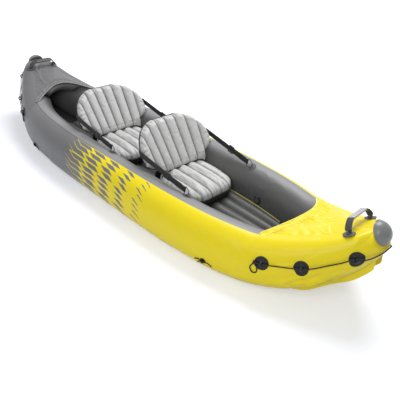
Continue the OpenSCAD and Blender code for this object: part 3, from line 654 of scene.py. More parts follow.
# Distance back from the nose (mm), turn on the skin (degrees) and height above it (mm)
line_route = np.array([
    [458, 17, 10], [442, 16, 11], [428, 16, 11], [412, 15, 11], [385, 14, 9], [345, 12, 6], [305, 10, 9],
    [280, 9, 11], [264, 8, 11], [247, 6, 11], [215, 5, 9], [170, 5, 6], [125, 5, 9], [95, 7, 11],
    [81, 2, 11], [66, -2, 13], [45, -9, 10], [27, -18, 6.5], [13, -32, 4.5], [6, -48, 3.5]], float)


def smooth_path(points, per):
    """A smooth curve through the points, with per steps to each span."""
    p = np.concatenate([points[:1] * 2 - points[1:2], points, points[-1:] * 2 - points[-2:-1]])
    t = np.linspace(0, 1, per, endpoint=False)[:, None]
    spans = []
    for a, b, c, d in zip(p, p[1:], p[2:], p[3:]):
        square, cube = 2 * a - 5 * b + 4 * c - d, 3 * b - a - 3 * c + d
        spans.append(0.5 * (2 * b + (c - a) * t + square * t ** 2 + cube * t ** 3))
    return np.concatenate([*spans, points[-1:]])


def rope_piece(name, path, radius, sides=14, laid=False):
    """A rope along a path with rounded ends, and with strands laid round it where laid is set."""
    run = unit(np.gradient(path, axis=0))
    side = np.cross(run[0], [0.3, 0.2, 0.93])
    across = np.zeros_like(path)
    for i, ahead in enumerate(run):
        side = unit(side - ahead * (ahead @ side))
        across[i] = side
    over = np.cross(run, across)
    far = np.concatenate([[0], np.cumsum(np.linalg.norm(np.diff(path, axis=0), axis=1))])
    angle = np.linspace(0, 2 * np.pi, sides, endpoint=False)
    r = np.full((len(path), sides), radius)
    if laid:
        r *= 0.93 + 0.07 * np.abs(np.cos(strands / 2 * angle[None] + np.pi * far[:, None] / strand_lay))
    r *= np.sqrt(np.clip(np.minimum(far, far[-1] - far) / radius, 0.02, 1))[:, None]
    ring = np.cos(angle)[:, None] * across[:, None] + np.sin(angle)[:, None] * over[:, None]
    uv = columns(*crossed(far, np.linspace(0, 1, sides + 1)))
    return grid_piece(name, path[:, None] + r[..., None] * ring, uv, wrap=True, capped=True)


black_rope, rope_shader, rope_at = finish_of("black_rope", 0.75, 0.3)
along, around = sheet_uv(rope_at)
weave = (along * 520.0 + around * 18.8).math("SINE") * (along * 520.0 - around * 18.8).math("SINE")
rope_tone = (weave * 0.3 + rope_at.noise(900.0, 2.0) * 0.5).blend((0.012, 0.012, 0.013), (0.05, 0.05, 0.05))
feed(rope_shader, Base_Color=rope_tone, bump=(weave * 0.0004, 0.6))
line_back, line_turn, line_lift = line_route.T
line_x = hull_half - line_back / 1000
line_half = skin(line_x, line_turn, merge=False)
line_half += line_lift[:, None] / 1000 * skin_normal(line_x, line_turn)
line_points = np.concatenate([line_half, line_half[::-1] * [1, -1, 1]])
for end, label in both_ends:
    path = smooth_path(line_points * [end, 1, 1], 10)
    line = rope_piece(f"{label}_grab_rope", path, line_r, laid=True)
    join(line, black_rope, f"{label}_grab_line")


# Hem welds and flanges. A bead of softened vinyl stands along each deck's open edge and another where the
# doubled strip ends. Below each nose the bottom panel is pressed to the tubes in a flat curled flange.
# The beads are coloured paler than their decks, as a painted highlight along the welded edges.
bead_highlight_vinyls = {1: deck_finish("bead_yellow_highlight", (0.95, 0.86, 0.16), (0.92, 0.80, 0.08)),
               -1: deck_finish("bead_gray_highlight", (0.30, 0.30, 0.305), (0.24, 0.24, 0.245))}
# Distance of each bead behind the edge, and its radius
hem_beads = ((0.0015, 0.0042), (0.036, 0.0034))
flange_turn, flange_w = -64, 0.028
flange_from, flange_to = 1.22, 1.525
hem_f = np.linspace(-1, 1, 80)
fx, ft = crossed(np.linspace(flange_from, flange_to, 80), np.linspace(0, 1, 9))
below = unit(skin(fx, flange_turn - 3.0) - skin(fx, flange_turn + 3.0))
lead = 0.72 * skin_normal(fx, flange_turn) + 0.62 * below
wide = flange_w * ease((fx - flange_from) / 0.10) * ease((flange_to - fx) / 0.028)
wide *= (1 + 0.12 * np.sin(41 * fx)) * (1 + 0.55 * ease((fx - 1.36) / 0.10))
curl = 0.0035 * np.sin(70 * fx + 2 * np.sin(17 * fx)) * ft
top = skin(fx, flange_turn, -0.001) + (ft * wide)[..., None] * lead + curl[..., None] * below
flange_points = both_faces(top, top - 0.0016 * below - 0.0004 * lead)
flange_points[..., 2] = np.maximum(flange_points[..., 2], 0.0006)
for end, label in both_ends:
    for number, (behind, bead_r) in enumerate(hem_beads):
        middle = deck(behind / (deck_end - hem_x(hem_f)), hem_f, deck_lift + 0.001)
        lap = skin(well_half + behind, np.linspace(90, 78, 5)[1:], deck_lift)
        path = np.concatenate([lap[::-1] * [1, -1, 1], middle, lap]) * [end, 1, 1]
        bead = rope_piece(f"{label}_hem_bead_{number}", path, bead_r, sides=10)
        join(bead, bead_highlight_vinyls[end])
    for side, hand in both_sides:
        flange = grid_piece(f"{label}_{hand}_flange", flange_points * [end, side, 1], wrap=True, capped=True,
                            flip=end * side < 0)
        join(flange, deck_vinyl[end])


# Rope patches. Round black vinyl patches, three to a side at each end, are welded on the tubes. Each
# carries a moulded loop that the grab line runs through.
loop_middle, loop_r = 0.0095, 0.0100


def lay_on_skin(part, x, turn, mirror=(1, 1, 1)):
    """A part drawn with X down, Y along and Z out, bent onto the tube at a place and then mirrored."""
    down, along_boat, out = np.array(part[0]).T
    normal = skin_normal(x, turn)
    level = unit(np.array([-normal[1], normal[0], 0]))
    flat = down[:, None] * np.cross(level, normal) + along_boat[:, None] * level
    by_x = (skin(x + 0.001, turn, merge=False) - skin(x - 0.001, turn, merge=False)) / 0.002
    by_turn = skin(x, turn + 0.5, merge=False) - skin(x, turn - 0.5, merge=False)
    shift = flat @ np.linalg.pinv(columns(by_x, by_turn)).T
    at_x, at_turn = x + shift[:, 0], turn + shift[:, 1]
    verts = (skin(at_x, at_turn, merge=False) + out[:, None] * skin_normal(at_x, at_turn)) * mirror
    return verts, facing(part[1], mirror)


def swept(path, across, half_w, half_t, power=4.0, sides=20, closed=False):
    """Corner points and faces of a rounded bar along a path, with across as the direction of its width."""
    path = np.asarray(path, float)
    run = unit(np.roll(path, -1, 0) - np.roll(path, 1, 0) if closed else np.gradient(path, axis=0))
    across = unit(across - run * (run * across).sum(1, keepdims=True))
    over = np.cross(run, across)
    angle = np.linspace(0, 2 * np.pi, sides, endpoint=False)
    c, s = bulge(np.cos(angle), power)[None, :, None], bulge(np.sin(angle), power)[None, :, None]
    wide, thick = (np.broadcast_to(h, len(path))[:, None, None] for h in (half_w, half_t))
    verts = path[:, None] + wide * c * across[:, None] + thick * s * over[:, None]
    faces = grid_faces(len(path), sides, closed=closed).tolist()
    return verts.reshape(-1, 3), faces if closed else faces + end_faces(len(path), sides)


patch_disc = lathe([(33.5, 0.2), (35.0, 0.8), (35.2, 2.0), (34.2, 3.4), (31.8, 4.0), (29.5, 3.6),
                    (27.5, 3.3), (19.0, 3.4), (16.5, 4.2), (15.0, 5.6), (12.0, 6.0), (0.5, 6.0)], 56)
arch_turn = np.radians(np.linspace(-28, 208, 29))
arch_path = columns(loop_r * np.cos(arch_turn), 0, loop_middle + loop_r * np.sin(arch_turn))
arch_foot = np.abs(np.linspace(-1, 1, len(arch_turn))) ** 6
patch_loop = swept(arch_path, (0.0, 1.0, 0.0), 0.0062 + 0.003 * arch_foot, 0.0026 + 0.0012 * arch_foot, 3.0)
patch_vinyl = clouded("patch_black", (0.007, 0.0075, 0.0075), (0.016, 0.017, 0.017), (0.42, 0.30, 0.2), 0.25,
                      40.0, grain=(600.0, 3.0, 0.0002))
for end, label in both_ends:
    parts = [lay_on_skin(part, hull_half - back, turn, (end, side, 1)) for back, turn in patch_spots
             for side in (1, -1) for part in (patch_disc, patch_loop)]
    join(fitting(f"{label}_line_patches", parts), patch_vinyl,
         f"{label}_rope_patches")


# Line ends. Behind the first patch on each side the grab line is tied in a knot, and a spare loop of the
# same rope hangs from it on the side of the tube.
loop_long, loop_wide = 0.047, 0.0228
line_knot, line_knot_up = 0.0075, 0.010
loop_turn = np.linspace(0.35, 2 * np.pi - 0.35, 37)
loop_down = (1 - np.cos(loop_turn)) / 2
spare_loop = columns(0.003 + loop_long * loop_down, loop_wide * np.sin(loop_turn) * np.sin(loop_turn / 2),
                     0.0040 + 0.0055 * (1 - loop_down) ** 2)


def knot_path(size, steps=90):
    """An overhand knot's closed path about the origin."""
    t = np.linspace(0, 2 * np.pi, steps)
    x, y = np.sin(t) + 2 * np.sin(2 * t), np.cos(t) - 2 * np.cos(2 * t)
    return size / 3 * columns(x, y, -1.6 * np.sin(3 * t))


def lay_path(path, spot):
    return lay_on_skin((path, []), *spot)[0]


for end, label in both_ends:
    for side, hand in both_sides:
        spot = (knot_x, knot_turn, (end, side, 1))
        path = lay_path(smooth_path(spare_loop, 2), spot)
        spare = rope_piece(f"{label}_{hand}_spare_loop", path, line_r, laid=True)
        tied = lay_path(knot_path(line_knot) + [0, 0, line_knot_up], spot)
        knot = rope_piece(f"{label}_{hand}_line_knot", tied, line_r)
        for piece in (spare, knot):
            join(piece, black_rope)


# Ties. A thin black cord is knotted through a small round patch low on each side, near both ends, and
# leaves three short tails that hang on the skin and end in knots.
tie_r, tail_l = 0.0025, 0.045
tie_knot, tie_knot_up = 0.0068, 0.0085
stop_knot, stop_r = 0.0032, 0.0014
# Where each tail starts round the patch and how far it swings, in degrees
tails = ((58, -26), (100, -44), (262, 50))
tie_disc = lathe([(16.0, 0.2), (17.0, 0.7), (17.1, 1.8), (16.0, 2.8), (14.5, 2.7), (13.0, 2.3), (7.0, 2.4),
                  (5.0, 3.4), (0.5, 3.6)], 40)
tie_spots = [(tie_x, tie_turn, (end, side, 1)) for end in (1, -1) for side in (1, -1)]
tie_seats = fitting("tie_seats", [lay_on_skin(tie_disc, *spot) for spot in tie_spots])
join(tie_seats, patch_vinyl, "tie_patches")
tail_t = np.linspace(0, 1, 26)
tail_lift = 0.0028 + 0.0060 * (1 - ease(tail_t / 0.55))
for number, spot in enumerate(tie_spots):
    tied = lay_path(knot_path(tie_knot) + [0, 0, tie_knot_up], spot)
    knot = rope_piece(f"tie_{number}_knot", tied, tie_r, sides=10)
    join(knot, black_rope, None if number else "tie_cords")
    for tail_no, (tail_turn, swing) in enumerate(tails):
        bearing = np.radians(tail_turn + swing * tail_t)
        heading = columns(np.cos(bearing), np.sin(bearing))
        step = tail_l / (len(tail_t) - 1) * heading
        flat = 0.006 * heading[0] + np.cumsum(step, 0) - step[0]
        path = lay_path(columns(*flat.T, tail_lift), spot)
        strand = rope_piece(f"tie_{number}_tail_{tail_no}", path, tie_r, sides=10)
        stop_path = knot_path(stop_knot, 50) + path[-1]
        stop = rope_piece(f"tie_{number}_stop_{tail_no}", stop_path, stop_r, sides=8)
        for piece in (strand, stop):
            join(piece, black_rope)


# Carry handles. A wide strap of dark webbing stands on two moulded anchors at each end of the boat and
# runs through a padded grip with moulded ribs. The strap turns on the anchors' pins.
handle_x = 1.395
handle_slope = math.atan2(tube_top(handle_x + 0.02) - tube_top(handle_x - 0.02), 0.04)
handle_at = np.array([handle_x, 0, tube_top(handle_x) + 0.0061])
handle_turn = np.array([(math.cos(handle_slope), 0, math.sin(handle_slope)), (0, 1, 0),
                        (-math.sin(handle_slope), 0, math.cos(handle_slope))]).T
pin_y, pin_z = 0.100, 0.017
post_off, post_low, post_top = 0.0114, 0.001, 0.0208
grip_half, grip_z, rib_pitch = 0.061, 0.0605, 0.0094
fore = (1.0, 0.0, 0.0)
leg = np.array([(100.5, 15.0), (101.0, 22.5), (97.0, 31.0), (88.0, 42.0), (77.0, 52.0), (66.0, 58.5),
                (52.0, 60.5)]) / 1000
leg = np.concatenate([leg, leg[::-1] * [-1, 1]])
leg_path = smooth_path(columns(0, *leg.T), 6)
eye = lathe([(3.6, -7.8), (4.6, -7.9), (5.2, -7.2), (5.2, 7.2), (4.6, 7.9), (3.6, 7.8)], 32)
eye_turn = np.array([(1, 0, 0), (0, 0, 1), (0, -1, 0)])
strap_parts = [swept(leg_path, fore, 0.0165, 0.0016, 8.0)]
strap_parts += [moved(eye, eye_turn, (0, side * pin_y, pin_z)) for side in (1, -1)]
foot_disc = lathe([(27.5, -2.0), (28.5, 0.4), (28.4, 2.4), (27.0, 3.6), (24.5, 3.8), (22.5, 3.3), (20.5, 3.2),
                   (16.0, 4.0), (0.5, 4.2)], 56)
foot_disc[0][:, 2] -= foot_disc[0][:, 1] ** 2 / 0.19
pin = lathe([(0.5, -14.2), (2.4, -14.0), (2.5, -13.2), (2.5, 13.2), (2.4, 14.0), (0.5, 14.2)], 24)
post_z = np.linspace(post_low, post_top, 12)
post_half = 0.005 * np.sqrt(np.clip(1 - ((post_z - post_low) / 0.0212) ** 6, 0.02, 1))
post_half += 0.004 * np.exp(-post_z / 0.004)
foot_parts = []
for side in (1, -1):
    foot_parts.append(moved(foot_disc, np.eye(3), (0, side * pin_y, 0)))
    foot_parts.append(moved(pin, eye_turn, (0, side * pin_y, pin_z)))
    for post in (-1, 1):
        post_path = columns(0, side * pin_y + post * post_off, post_z)
        foot_parts.append(swept(post_path, fore, post_half, 0.0028, 4.0, 16))
grip_y = np.linspace(-grip_half, grip_half, 150)
grip_round = 0.55 + 0.45 * round_in(grip_half - np.abs(grip_y), 0.008)
grip_rib = 1 - 0.12 * (np.cos(2 * np.pi * grip_y / rib_pitch) > 0.55) * (np.abs(grip_y) < 0.050)
grip_part = swept(columns(0, grip_y, grip_z), fore,
                  0.017 * grip_round * (0.4 + 0.6 * grip_rib), 0.0066 * grip_round * grip_rib, 3.2, 36)


def webbing_finish(name, color, pale):
    made, shader, at = finish_of(name, 0.7, 0.35)
    x, y, z = at.split()
    weave = ((x + z) * 2600.0).math("SINE") * (y * 2600.0).math("SINE")
    fuzz = at.noise(160.0)
    feed(shader, Base_Color=(weave * 0.25 + fuzz * 0.6).blend(color, pale), Roughness=0.6 + fuzz * 0.2,
         bump=(weave * 0.0003, 0.6))
    return made


handle_web = webbing_finish("handle_webbing", (0.055, 0.055, 0.058), (0.10, 0.10, 0.104))
grips = {1: clouded("grip_pale", (0.56, 0.55, 0.56), (0.48, 0.47, 0.48)),
         -1: clouded("grip_dark", (0.060, 0.060, 0.062), (0.042, 0.042, 0.044))}
anchor_gray = clouded("anchor_gray", (0.085, 0.087, 0.088), (0.062, 0.064, 0.065))
for end, label in both_ends:
    for name, node, parts, body, slot, material in (
            ("bail", "strap", strap_parts, f"{label}_handle", "black_webbing", handle_web),
            ("pad", "grip", [grip_part], f"{label}_handle", "gray_fittings", grips[end]),
            ("feet", "anchors", foot_parts, "hull", "gray_fittings", anchor_gray)):
        parts = [moved(part, handle_turn, handle_at, (end, 1, 1)) for part in parts]
        join(fitting(f"{label}_handle_{name}", parts), material, f"{label}_handle_{node}", body)


# Air valves and fin box. Each valve is a flanged body welded in the skin with a hinged lid, moulded in
# gray plastic. The slotted box under the stern is black, and takes a fin that clips in from behind.
def dress(material, edge_r, *names):
    """Gives solids of the frame a material and slightly rounded edges."""
    for name in names:
        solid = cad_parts[name]
        if not solid.material_slots:
            solid.data.materials.append(material)
        for slot in solid.material_slots:
            slot.material = material
        edge = solid.modifiers.new("edge", "BEVEL")
        edge.width, edge.segments, edge.limit_method = edge_r, 2, "ANGLE"
        edge.angle_limit, edge.harden_normals = math.radians(40), True
        solid.data.shade_smooth()


valve_gray = clouded("valve_gray", (0.030, 0.030, 0.031), (0.022, 0.022, 0.023))
lid_gray = clouded("lid_gray", (0.090, 0.090, 0.092), (0.068, 0.068, 0.070))
box_black = clouded("box_black", (0.020, 0.020, 0.021), (0.032, 0.032, 0.033))
dress(valve_gray, 0.0007, "port_valve_body", "starboard_valve_body", "floor_valve_body")
dress(lid_gray, 0.0009, "port_valve_cap", "starboard_valve_cap", "floor_valve_cap")
dress(box_black, 0.0010, "skeg_box")


# Seat cushions. Each is an inflated pad of silver-gray coated cloth with five welded channels fore and
# aft and a black underside. The welds pull the cloth into puckers at both ends and along the rim.
cushion_w, cushion_l, cushion_h = 0.396, 0.325, 0.112
front_corner, rear_corner = 0.12, 0.06
rim_at = 0.42
cushion_channels = 5
piping_r = 0.0042
air_frames, air_pressure, air_slack, air_reach = 16, 3.0, 0.008, 0.006
air_shapes = {}


def rounded(f, power):
    return np.clip(1 - np.abs(f) ** power, 0, None) ** (1 / power)


def corner_cut(y, r):
    over = np.clip(np.abs(y) - (cushion_w / 2 - r), 0, r)
    return r - np.sqrt(r * r - over * over)


def gathered(places, pitch, sway):
    """1 in the narrow folds of cloth that is drawn together along a line, and 0 between them."""
    return (1 - np.abs(np.sin(np.pi * places / pitch + sway))) ** 3


def blow_up(piece, held):
    """Fills the piece with air while the held points stay, and lets none go further than air_reach."""
    start = np.array([v.co for v in piece.data.vertices])
    piece.vertex_groups.new(name="welds").add(np.flatnonzero(held).tolist(), 1.0, "REPLACE")
    air = piece.modifiers.new("air", "CLOTH")
    cloth = air.settings
    cloth.vertex_group_mass = "welds"
    cloth.quality, cloth.mass = 5, 0.2
    cloth.tension_stiffness = cloth.compression_stiffness = 30
    cloth.shear_stiffness, cloth.bending_stiffness = 10, 0.3
    cloth.use_pressure, cloth.uniform_pressure_force = True, air_pressure
    cloth.shrink_min = cloth.shrink_max = -air_slack
    cloth.effector_weights.gravity = 0
    air.collision_settings.use_collision = False
    air.point_cache.frame_start, air.point_cache.frame_end = 1, air_frames
    for frame_no in range(1, air_frames + 1):
        bpy.context.scene.frame_set(frame_no)
    shaped = piece.evaluated_get(bpy.context.evaluated_depsgraph_get())
    shift = np.array([v.co for v in shaped.data.vertices]) - start
    far = np.linalg.norm(shift, axis=1, keepdims=True)
    shift *= np.minimum(1, air_reach / np.maximum(far, 1e-9))
    piece.modifiers.remove(air)
    bpy.context.scene.frame_set(1)
    piece.data.vertices.foreach_set("co", (start + shift).astype(np.float32).ravel())
    piece.data.update()


def air_piece(name, kind, points, at, channels, held, gather_shade):
    """A channelled piece with a flat back, in the shape that air gave to the first of its kind."""
    uv = np.stack([np.concatenate([a, a[:, ::-1], a[:, :1]], 1) for a in channels], -1)
    piece = grid_piece(name, points, uv, wrap=True, flip=True, capped=True)
    if kind not in air_shapes:
        blow_up(piece, both_faces(held, np.ones_like(held)).ravel())
        air_shapes[kind] = np.array([v.co for v in piece.data.vertices]) - at
    piece.data.vertices.foreach_set("co", (air_shapes[kind] + at).astype(np.float32).ravel())
    # The depth of the gathers is kept on the points for the painted shade in the cloth's folds.
    marks = piece.data.attributes.new("gather_shade", "FLOAT", "POINT")
    marks.data.foreach_set("value", both_faces(gather_shade, 0 * gather_shade).astype(np.float32).ravel())
    return piece


seat_cloth, seat_shader, seat_at = finish_of("seat_cloth", 0.42)
channel, along_channel = sheet_uv(seat_at)
off_middle = (channel.math("FRACT") - 0.5).math("ABSOLUTE")
weld_valley_shade, weld_side_shade = off_middle.between(0.43, 0.49), off_middle.between(0.22, 0.5)
gather_shade = seat_at.node("Attribute", {}, out=2, attribute_name="gather_shade")
end_shade = (along_channel - 0.5).math("ABSOLUTE").between(0.40, 0.5)
seat_cloud = seat_at.noise(18.0)
seat_x, seat_y = seat_at.split()[:2]
thread = (seat_y * 3600.0).math("SINE") * (seat_x * 3600.0).math("SINE")
seat_tone = (seat_cloud * 0.7).blend((0.60, 0.60, 0.595), (0.52, 0.52, 0.518))
# Painted shade: the cloth is darkened along the welds in the valleys between channels, across each channel
# towards them, at the channel ends and in the gathers.
seat_painted_shade = (weld_valley_shade * 0.62 + weld_side_shade * 0.22 + end_shade * 0.06 + gather_shade * 0.65).math("MINIMUM", 0.92)
feed(seat_shader, Base_Color=seat_painted_shade.blend(seat_tone, (0.05, 0.05, 0.052)), Roughness=0.36 + seat_cloud * 0.16,
     bump=(thread * 0.00006 + seat_cloud * 0.0009 + seat_at.noise(70.0) * 0.0005, 0.6))

backing, backing_shader, backing_at = finish_of("black_backing", 0.62, 0.35)
backing_y, backing_z = backing_at.split()[1:]
rib = (backing_y * 2200.0).math("SINE") * (backing_z * 2200.0).math("SINE")
backing_tone = backing_at.noise(45.0).blend((0.013, 0.013, 0.014), (0.030, 0.030, 0.031))
feed(backing_shader, Base_Color=backing_tone, Roughness=0.55 + backing_at.noise(20.0) * 0.2,
     bump=(rib * 0.00015, 0.6))

pad_f, pad_v = np.linspace(-1, 1, cushion_channels * 20 + 1), np.linspace(0, 1, 61)
f, v = crossed(pad_f, pad_v)
y = f * cushion_w / 2
x_rear, x_front = corner_cut(y, rear_corner), cushion_l - corner_cut(y, front_corner)
x = x_rear + (x_front - x_rear) * v
phase = (f + 1) / 2 * cushion_channels
lobe = 0.62 + 0.38 * np.sqrt(np.abs(np.sin(np.pi * phase)))
ends = np.where(v < 0.5, rounded(2 * v - 1, 9), rounded(2 * v - 1, 3.0))
rise = lobe * ends * rounded(0.985 * f, 3.2) * (1 - 0.16 * v * v)
to_front, to_side = (1 - v) * cushion_l, (1 - np.abs(f)) * cushion_w / 2
pucker = -gathered(y, 0.027, np.sin(31 * y)) * hump(to_front - 0.018, 0.034)
pucker -= 0.7 * gathered(x, 0.033, np.sin(19 * x)) * hump(to_side - 0.010, 0.020)
rim_z = rim_at * cushion_h
top_z = rim_z + (1 - rim_at) * cushion_h * (0.05 + 1.06 * rise) + 0.010 * pucker * rounded(f, 6)
low_z = rim_z * (1 - 0.97 * rounded(0.97 * f, 6) * rounded((2 * v - 1) * 0.97, 6))
pad_points = both_faces(columns(x, y, top_z), columns(x, y, low_z))
at_weld = np.abs(phase - np.round(phase)) < 0.01
pad_held = at_weld | (v < 0.02) | (v > 0.98) | (np.abs(f) > 0.99)
pad_faces = np.arange((len(pad_f) - 1) * pad_points.shape[1])
pad_under = [*(pad_faces % pad_points.shape[1] >= len(pad_v) - 1).astype(int).tolist(), 1, 1]
edge_x = np.concatenate([x_rear[:, 0], x_front[::-1, 0], x_rear[:1, 0]])
edge_y = np.concatenate([y[:, 0], y[::-1, 0], y[:1, 0]])
pad_edge = columns(edge_x, edge_y, rim_z - 0.004)
for label in ("front", "rear"):
    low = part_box(f"{label}_seat_cushion")[0]
    at = np.array([low.x, 0, low.z])
    pad = air_piece(f"{label}_seat_pad", "pad", pad_points + at, at, (phase, v), pad_held,
                    np.clip(-pucker, 0, 1))
    join(pad, seat_cloth, f"{label}_seat_cushion")
    pad.data.materials.append(backing)
    pad.data.polygons.foreach_set("material_index", pad_under)
    piping = rope_piece(f"{label}_seat_piping", smooth_path((pad_edge + at)[::2], 3), piping_r, sides=10)
    join(piping, backing)


# Backrests. Each is a fan of eight inflated channels in the same cloth, with a puckered rim, on a black
# panel that is bound with piping. It turns on a hinge cord at the back of the seat base.
foot_w, fan_w = 0.390, 0.548
fan_low, fan_high = 0.010, 0.302
fan_wide = 0.16
fan_round = 0.045
wrap, lean = 0.045, math.radians(37)
back_t, back_face = 0.050, 0.004
hinge_back, hinge_z = 0.014, 0.242542
back_channels, fan_spread, last_ray = 8, 1.372, 0.996
panel_margin = 0.005
bind_in, bind_r = 0.986, 0.0045


def fan_half(u):
    foot = foot_w / 2 + (fan_w - foot_w) / 2 * np.sin(np.pi / 2 * np.clip(u / fan_wide, 0, 1))
    crown = fan_w / 2 * rounded(np.clip(u - fan_wide, 0, None) / (1.03 - fan_wide), 2.4)
    return np.where(u < fan_wide, foot, crown)


def fan_line(g, z):
    """Distance across of the fan's ray g at a height up the back."""
    return g * (foot_w / 2 + 0.025 * z / fan_high)


def on_back(out, across, high, place):
    """Points given out of the face, across and up the back, at a seat whose cushion starts at place."""
    x = place - hinge_back + out * math.cos(lean) - high * math.sin(lean)
    return columns(x, across, hinge_z + high * math.cos(lean) + out * math.sin(lean))


def wrap_at(s):
    return wrap * (2 * s / fan_w) ** 2


rays = np.linspace(-last_ray, last_ray, back_channels * 18 + 1) * fan_spread
heights = np.linspace(fan_low, fan_high, 1200)
half_at = fan_half((heights - fan_low) / (fan_high - fan_low))
within = np.abs(fan_line(rays[:, None], heights[None])) <= half_at[None]
ray_low = heights[np.argmax(within, 1)]
ray_high = heights[len(heights) - 1 - np.argmax(within[:, ::-1], 1)]
v = np.linspace(0, 1, 57)[None]
high = ray_low[:, None] + (ray_high - ray_low)[:, None] * v
across = fan_line(rays[:, None], high)
phase = ((rays / fan_spread + last_ray) / (2 * last_ray) * back_channels)[:, None] + 0 * v
lobe = 0.30 + 0.70 * np.sqrt(np.abs(np.sin(np.pi * phase)))
to_top, to_foot = ray_high[:, None] - high, high - ray_low[:, None]
in_foot = ease((1.0 - np.abs(rays)) / 0.06)[:, None]
ends = round_in(to_top, fan_round, 0.004)
ends *= in_foot + (1 - in_foot) * round_in(to_foot, fan_round, 0.004)
ends *= np.sqrt(np.clip(1 - (np.abs(rays) / fan_spread) ** 10, 0.004, 1))[:, None]
ripple = -gathered(across, 0.023, np.sin(29 * across)) * hump(to_top - 0.010, 0.024)
ripple -= gathered(high, 0.030, 3 * across) * hump(fan_spread - np.abs(rays[:, None]), 0.14)
fan_face = wrap_at(across) + back_face
front_face = columns(fan_face + 0.001 + (back_t * lobe + 0.012 * ripple) * ends, across, high)
fan_points = both_faces(front_face, columns(fan_face + 0.0004, across, high))
at_weld = np.abs(phase - np.round(phase)) < 0.012
fan_held = at_weld | (v > 0.985) | (v < 0.015)
foot_line = columns(fan_line(rays, ray_low), ray_low)
top_line = columns(fan_line(rays, ray_high), ray_high)
outline = np.concatenate([foot_line[rays < -1.0][::-1], top_line, foot_line[rays > 1.0][::-1]])
bound_y = outline[:, 0] * bind_in
u, g = crossed(np.linspace(0, 1, 60), np.linspace(-1, 1, 81))
panel_y = g * (fan_half(u) + panel_margin)
panel_up = fan_low + (fan_high - fan_low) * u
foot_rays = np.flatnonzero(np.abs(rays) < 0.985)
foot_y = across[foot_rays, 0]
skirt_y = foot_y * 0.97
skirt_z = hinge_z - 0.005 - 0.012 * np.abs(foot_y / foot_y.max()) ** 6
t = np.linspace(0, 1, 14)[:, None]
skirt_uv = columns(phase[foot_rays, :1], 0.3 + 0.4 * t.T)
for label in ("front", "rear"):
    body = f"{label}_backrest"
    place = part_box(f"{label}_seat_cushion")[0].x
    start = on_back(*np.moveaxis(fan_points, -1, 0), place)
    fan = air_piece(f"{label}_back_fan", "fan", start, np.array([place, 0, 0]), (phase, v + 0 * phase),
                    fan_held, np.clip(-ripple, 0, 1))
    join(fan, seat_cloth, body, body)

    faces = [on_back(wrap_at(panel_y) + out, panel_y, panel_up, place)
             for out in (back_face - 0.0006, 0.0006)]
    panel = grid_piece(f"{label}_back_cover", both_faces(*faces), wrap=True, capped=True, flip=True)
    join(panel, backing, f"{label}_back_panel", body)
    bound = on_back(wrap_at(bound_y) + back_face + 0.001, bound_y, outline[:, 1], place)
    binding = rope_piece(f"{label}_back_piping", smooth_path(bound[::2], 3), bind_r, sides=10)
    join(binding, backing, body=body)

    top_edge = on_back(*np.moveaxis(front_face[foot_rays, 0], -1, 0), place)
    low_edge = columns(place + 0.020 + corner_cut(skirt_y, rear_corner), skirt_y, skirt_z)
    skirt = low_edge[:, None] + (top_edge - low_edge)[:, None] * t
    skirt[..., 0] += 0.010 * np.sin(np.pi * t[:, 0])
    gusset = grid_piece(f"{label}_seat_gusset", skirt, skirt_uv)
    join(gusset, seat_cloth, body=None)
    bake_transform(gusset)
    crease = skirt[:, 0] + [0.004, 0, 0.0035]
    cord = rope_piece(f"{label}_seat_crease", smooth_path(crease[::3], 2), bind_r, sides=10)
    join(cord, backing)


# Seat bases and hinges. A black board under each cushion has an upstand at the back, and the backrest's
# sewn sleeves turn on a cord that runs along its top.
dress(backing, 0.0008, "front_seat_base", "rear_seat_base", "front_back_hinge", "rear_back_hinge")


# Back straps. Black webbing is sewn behind each side of a backrest and runs forward through a ladder
# buckle to a wire loop, then back to the buckle. The loop is held by a tab on a round gray patch.
ring_run, ring_turn, ring_up = 0.345, 112, 0.0188
strap_high, strap_w, strap_t = 0.130, 0.034, 0.002
buckle_share = 0.62
bar_r, bar_half = 0.0034, 0.021
tab_r = 0.0042
strap_web = webbing_finish("strap_webbing", (0.014, 0.014, 0.015), (0.040, 0.040, 0.041))
buckle_black = clouded("buckle_black", (0.020, 0.020, 0.021), (0.034, 0.034, 0.035))
ring_gray = clouded("ring_gray", (0.030, 0.030, 0.031), (0.045, 0.045, 0.046))
seat_patch = clouded("seat_patch_gray", (0.100, 0.100, 0.102), (0.078, 0.078, 0.080), (0.36, 0.30, 0.16),
                     scale=40.0, grain=(600.0, 3.0, 0.0002))
ring_disc = lathe([(28.5, 0.2), (30.0, 0.8), (30.1, 1.8), (29.0, 2.7), (27.0, 2.6), (25.5, 2.0), (24.0, 1.8),
                   (0.5, 2.0)], 56)
tab_turn = np.radians(np.linspace(-20, 200, 21))
tab_y = tab_r * np.cos(tab_turn) * (1 + 1.6 * np.abs(np.linspace(-1, 1, len(tab_turn))) ** 5)
tab_path = columns(0, tab_y, 0.0056 + tab_r * np.sin(tab_turn))
tab = swept(tab_path, fore, 0.0145, 0.0012, 6.0)


def rounded_loop(middle, long_way, wide_way, half_l, half_w, corner, steps=10):
    """A closed rounded oblong of points."""
    points = []
    for quarter in range(4):
        cx = (half_l - corner) * (1 if quarter in (0, 3) else -1)
        cy = (half_w - corner) * (1 if quarter in (0, 1) else -1)
        for a in np.linspace(0, np.pi / 2, steps, endpoint=False) + quarter * np.pi / 2:
            long_off, wide_off = cx + corner * math.cos(a), cy + corner * math.sin(a)
            points.append(middle + long_off * long_way + wide_off * wide_way)
    return np.array(points)


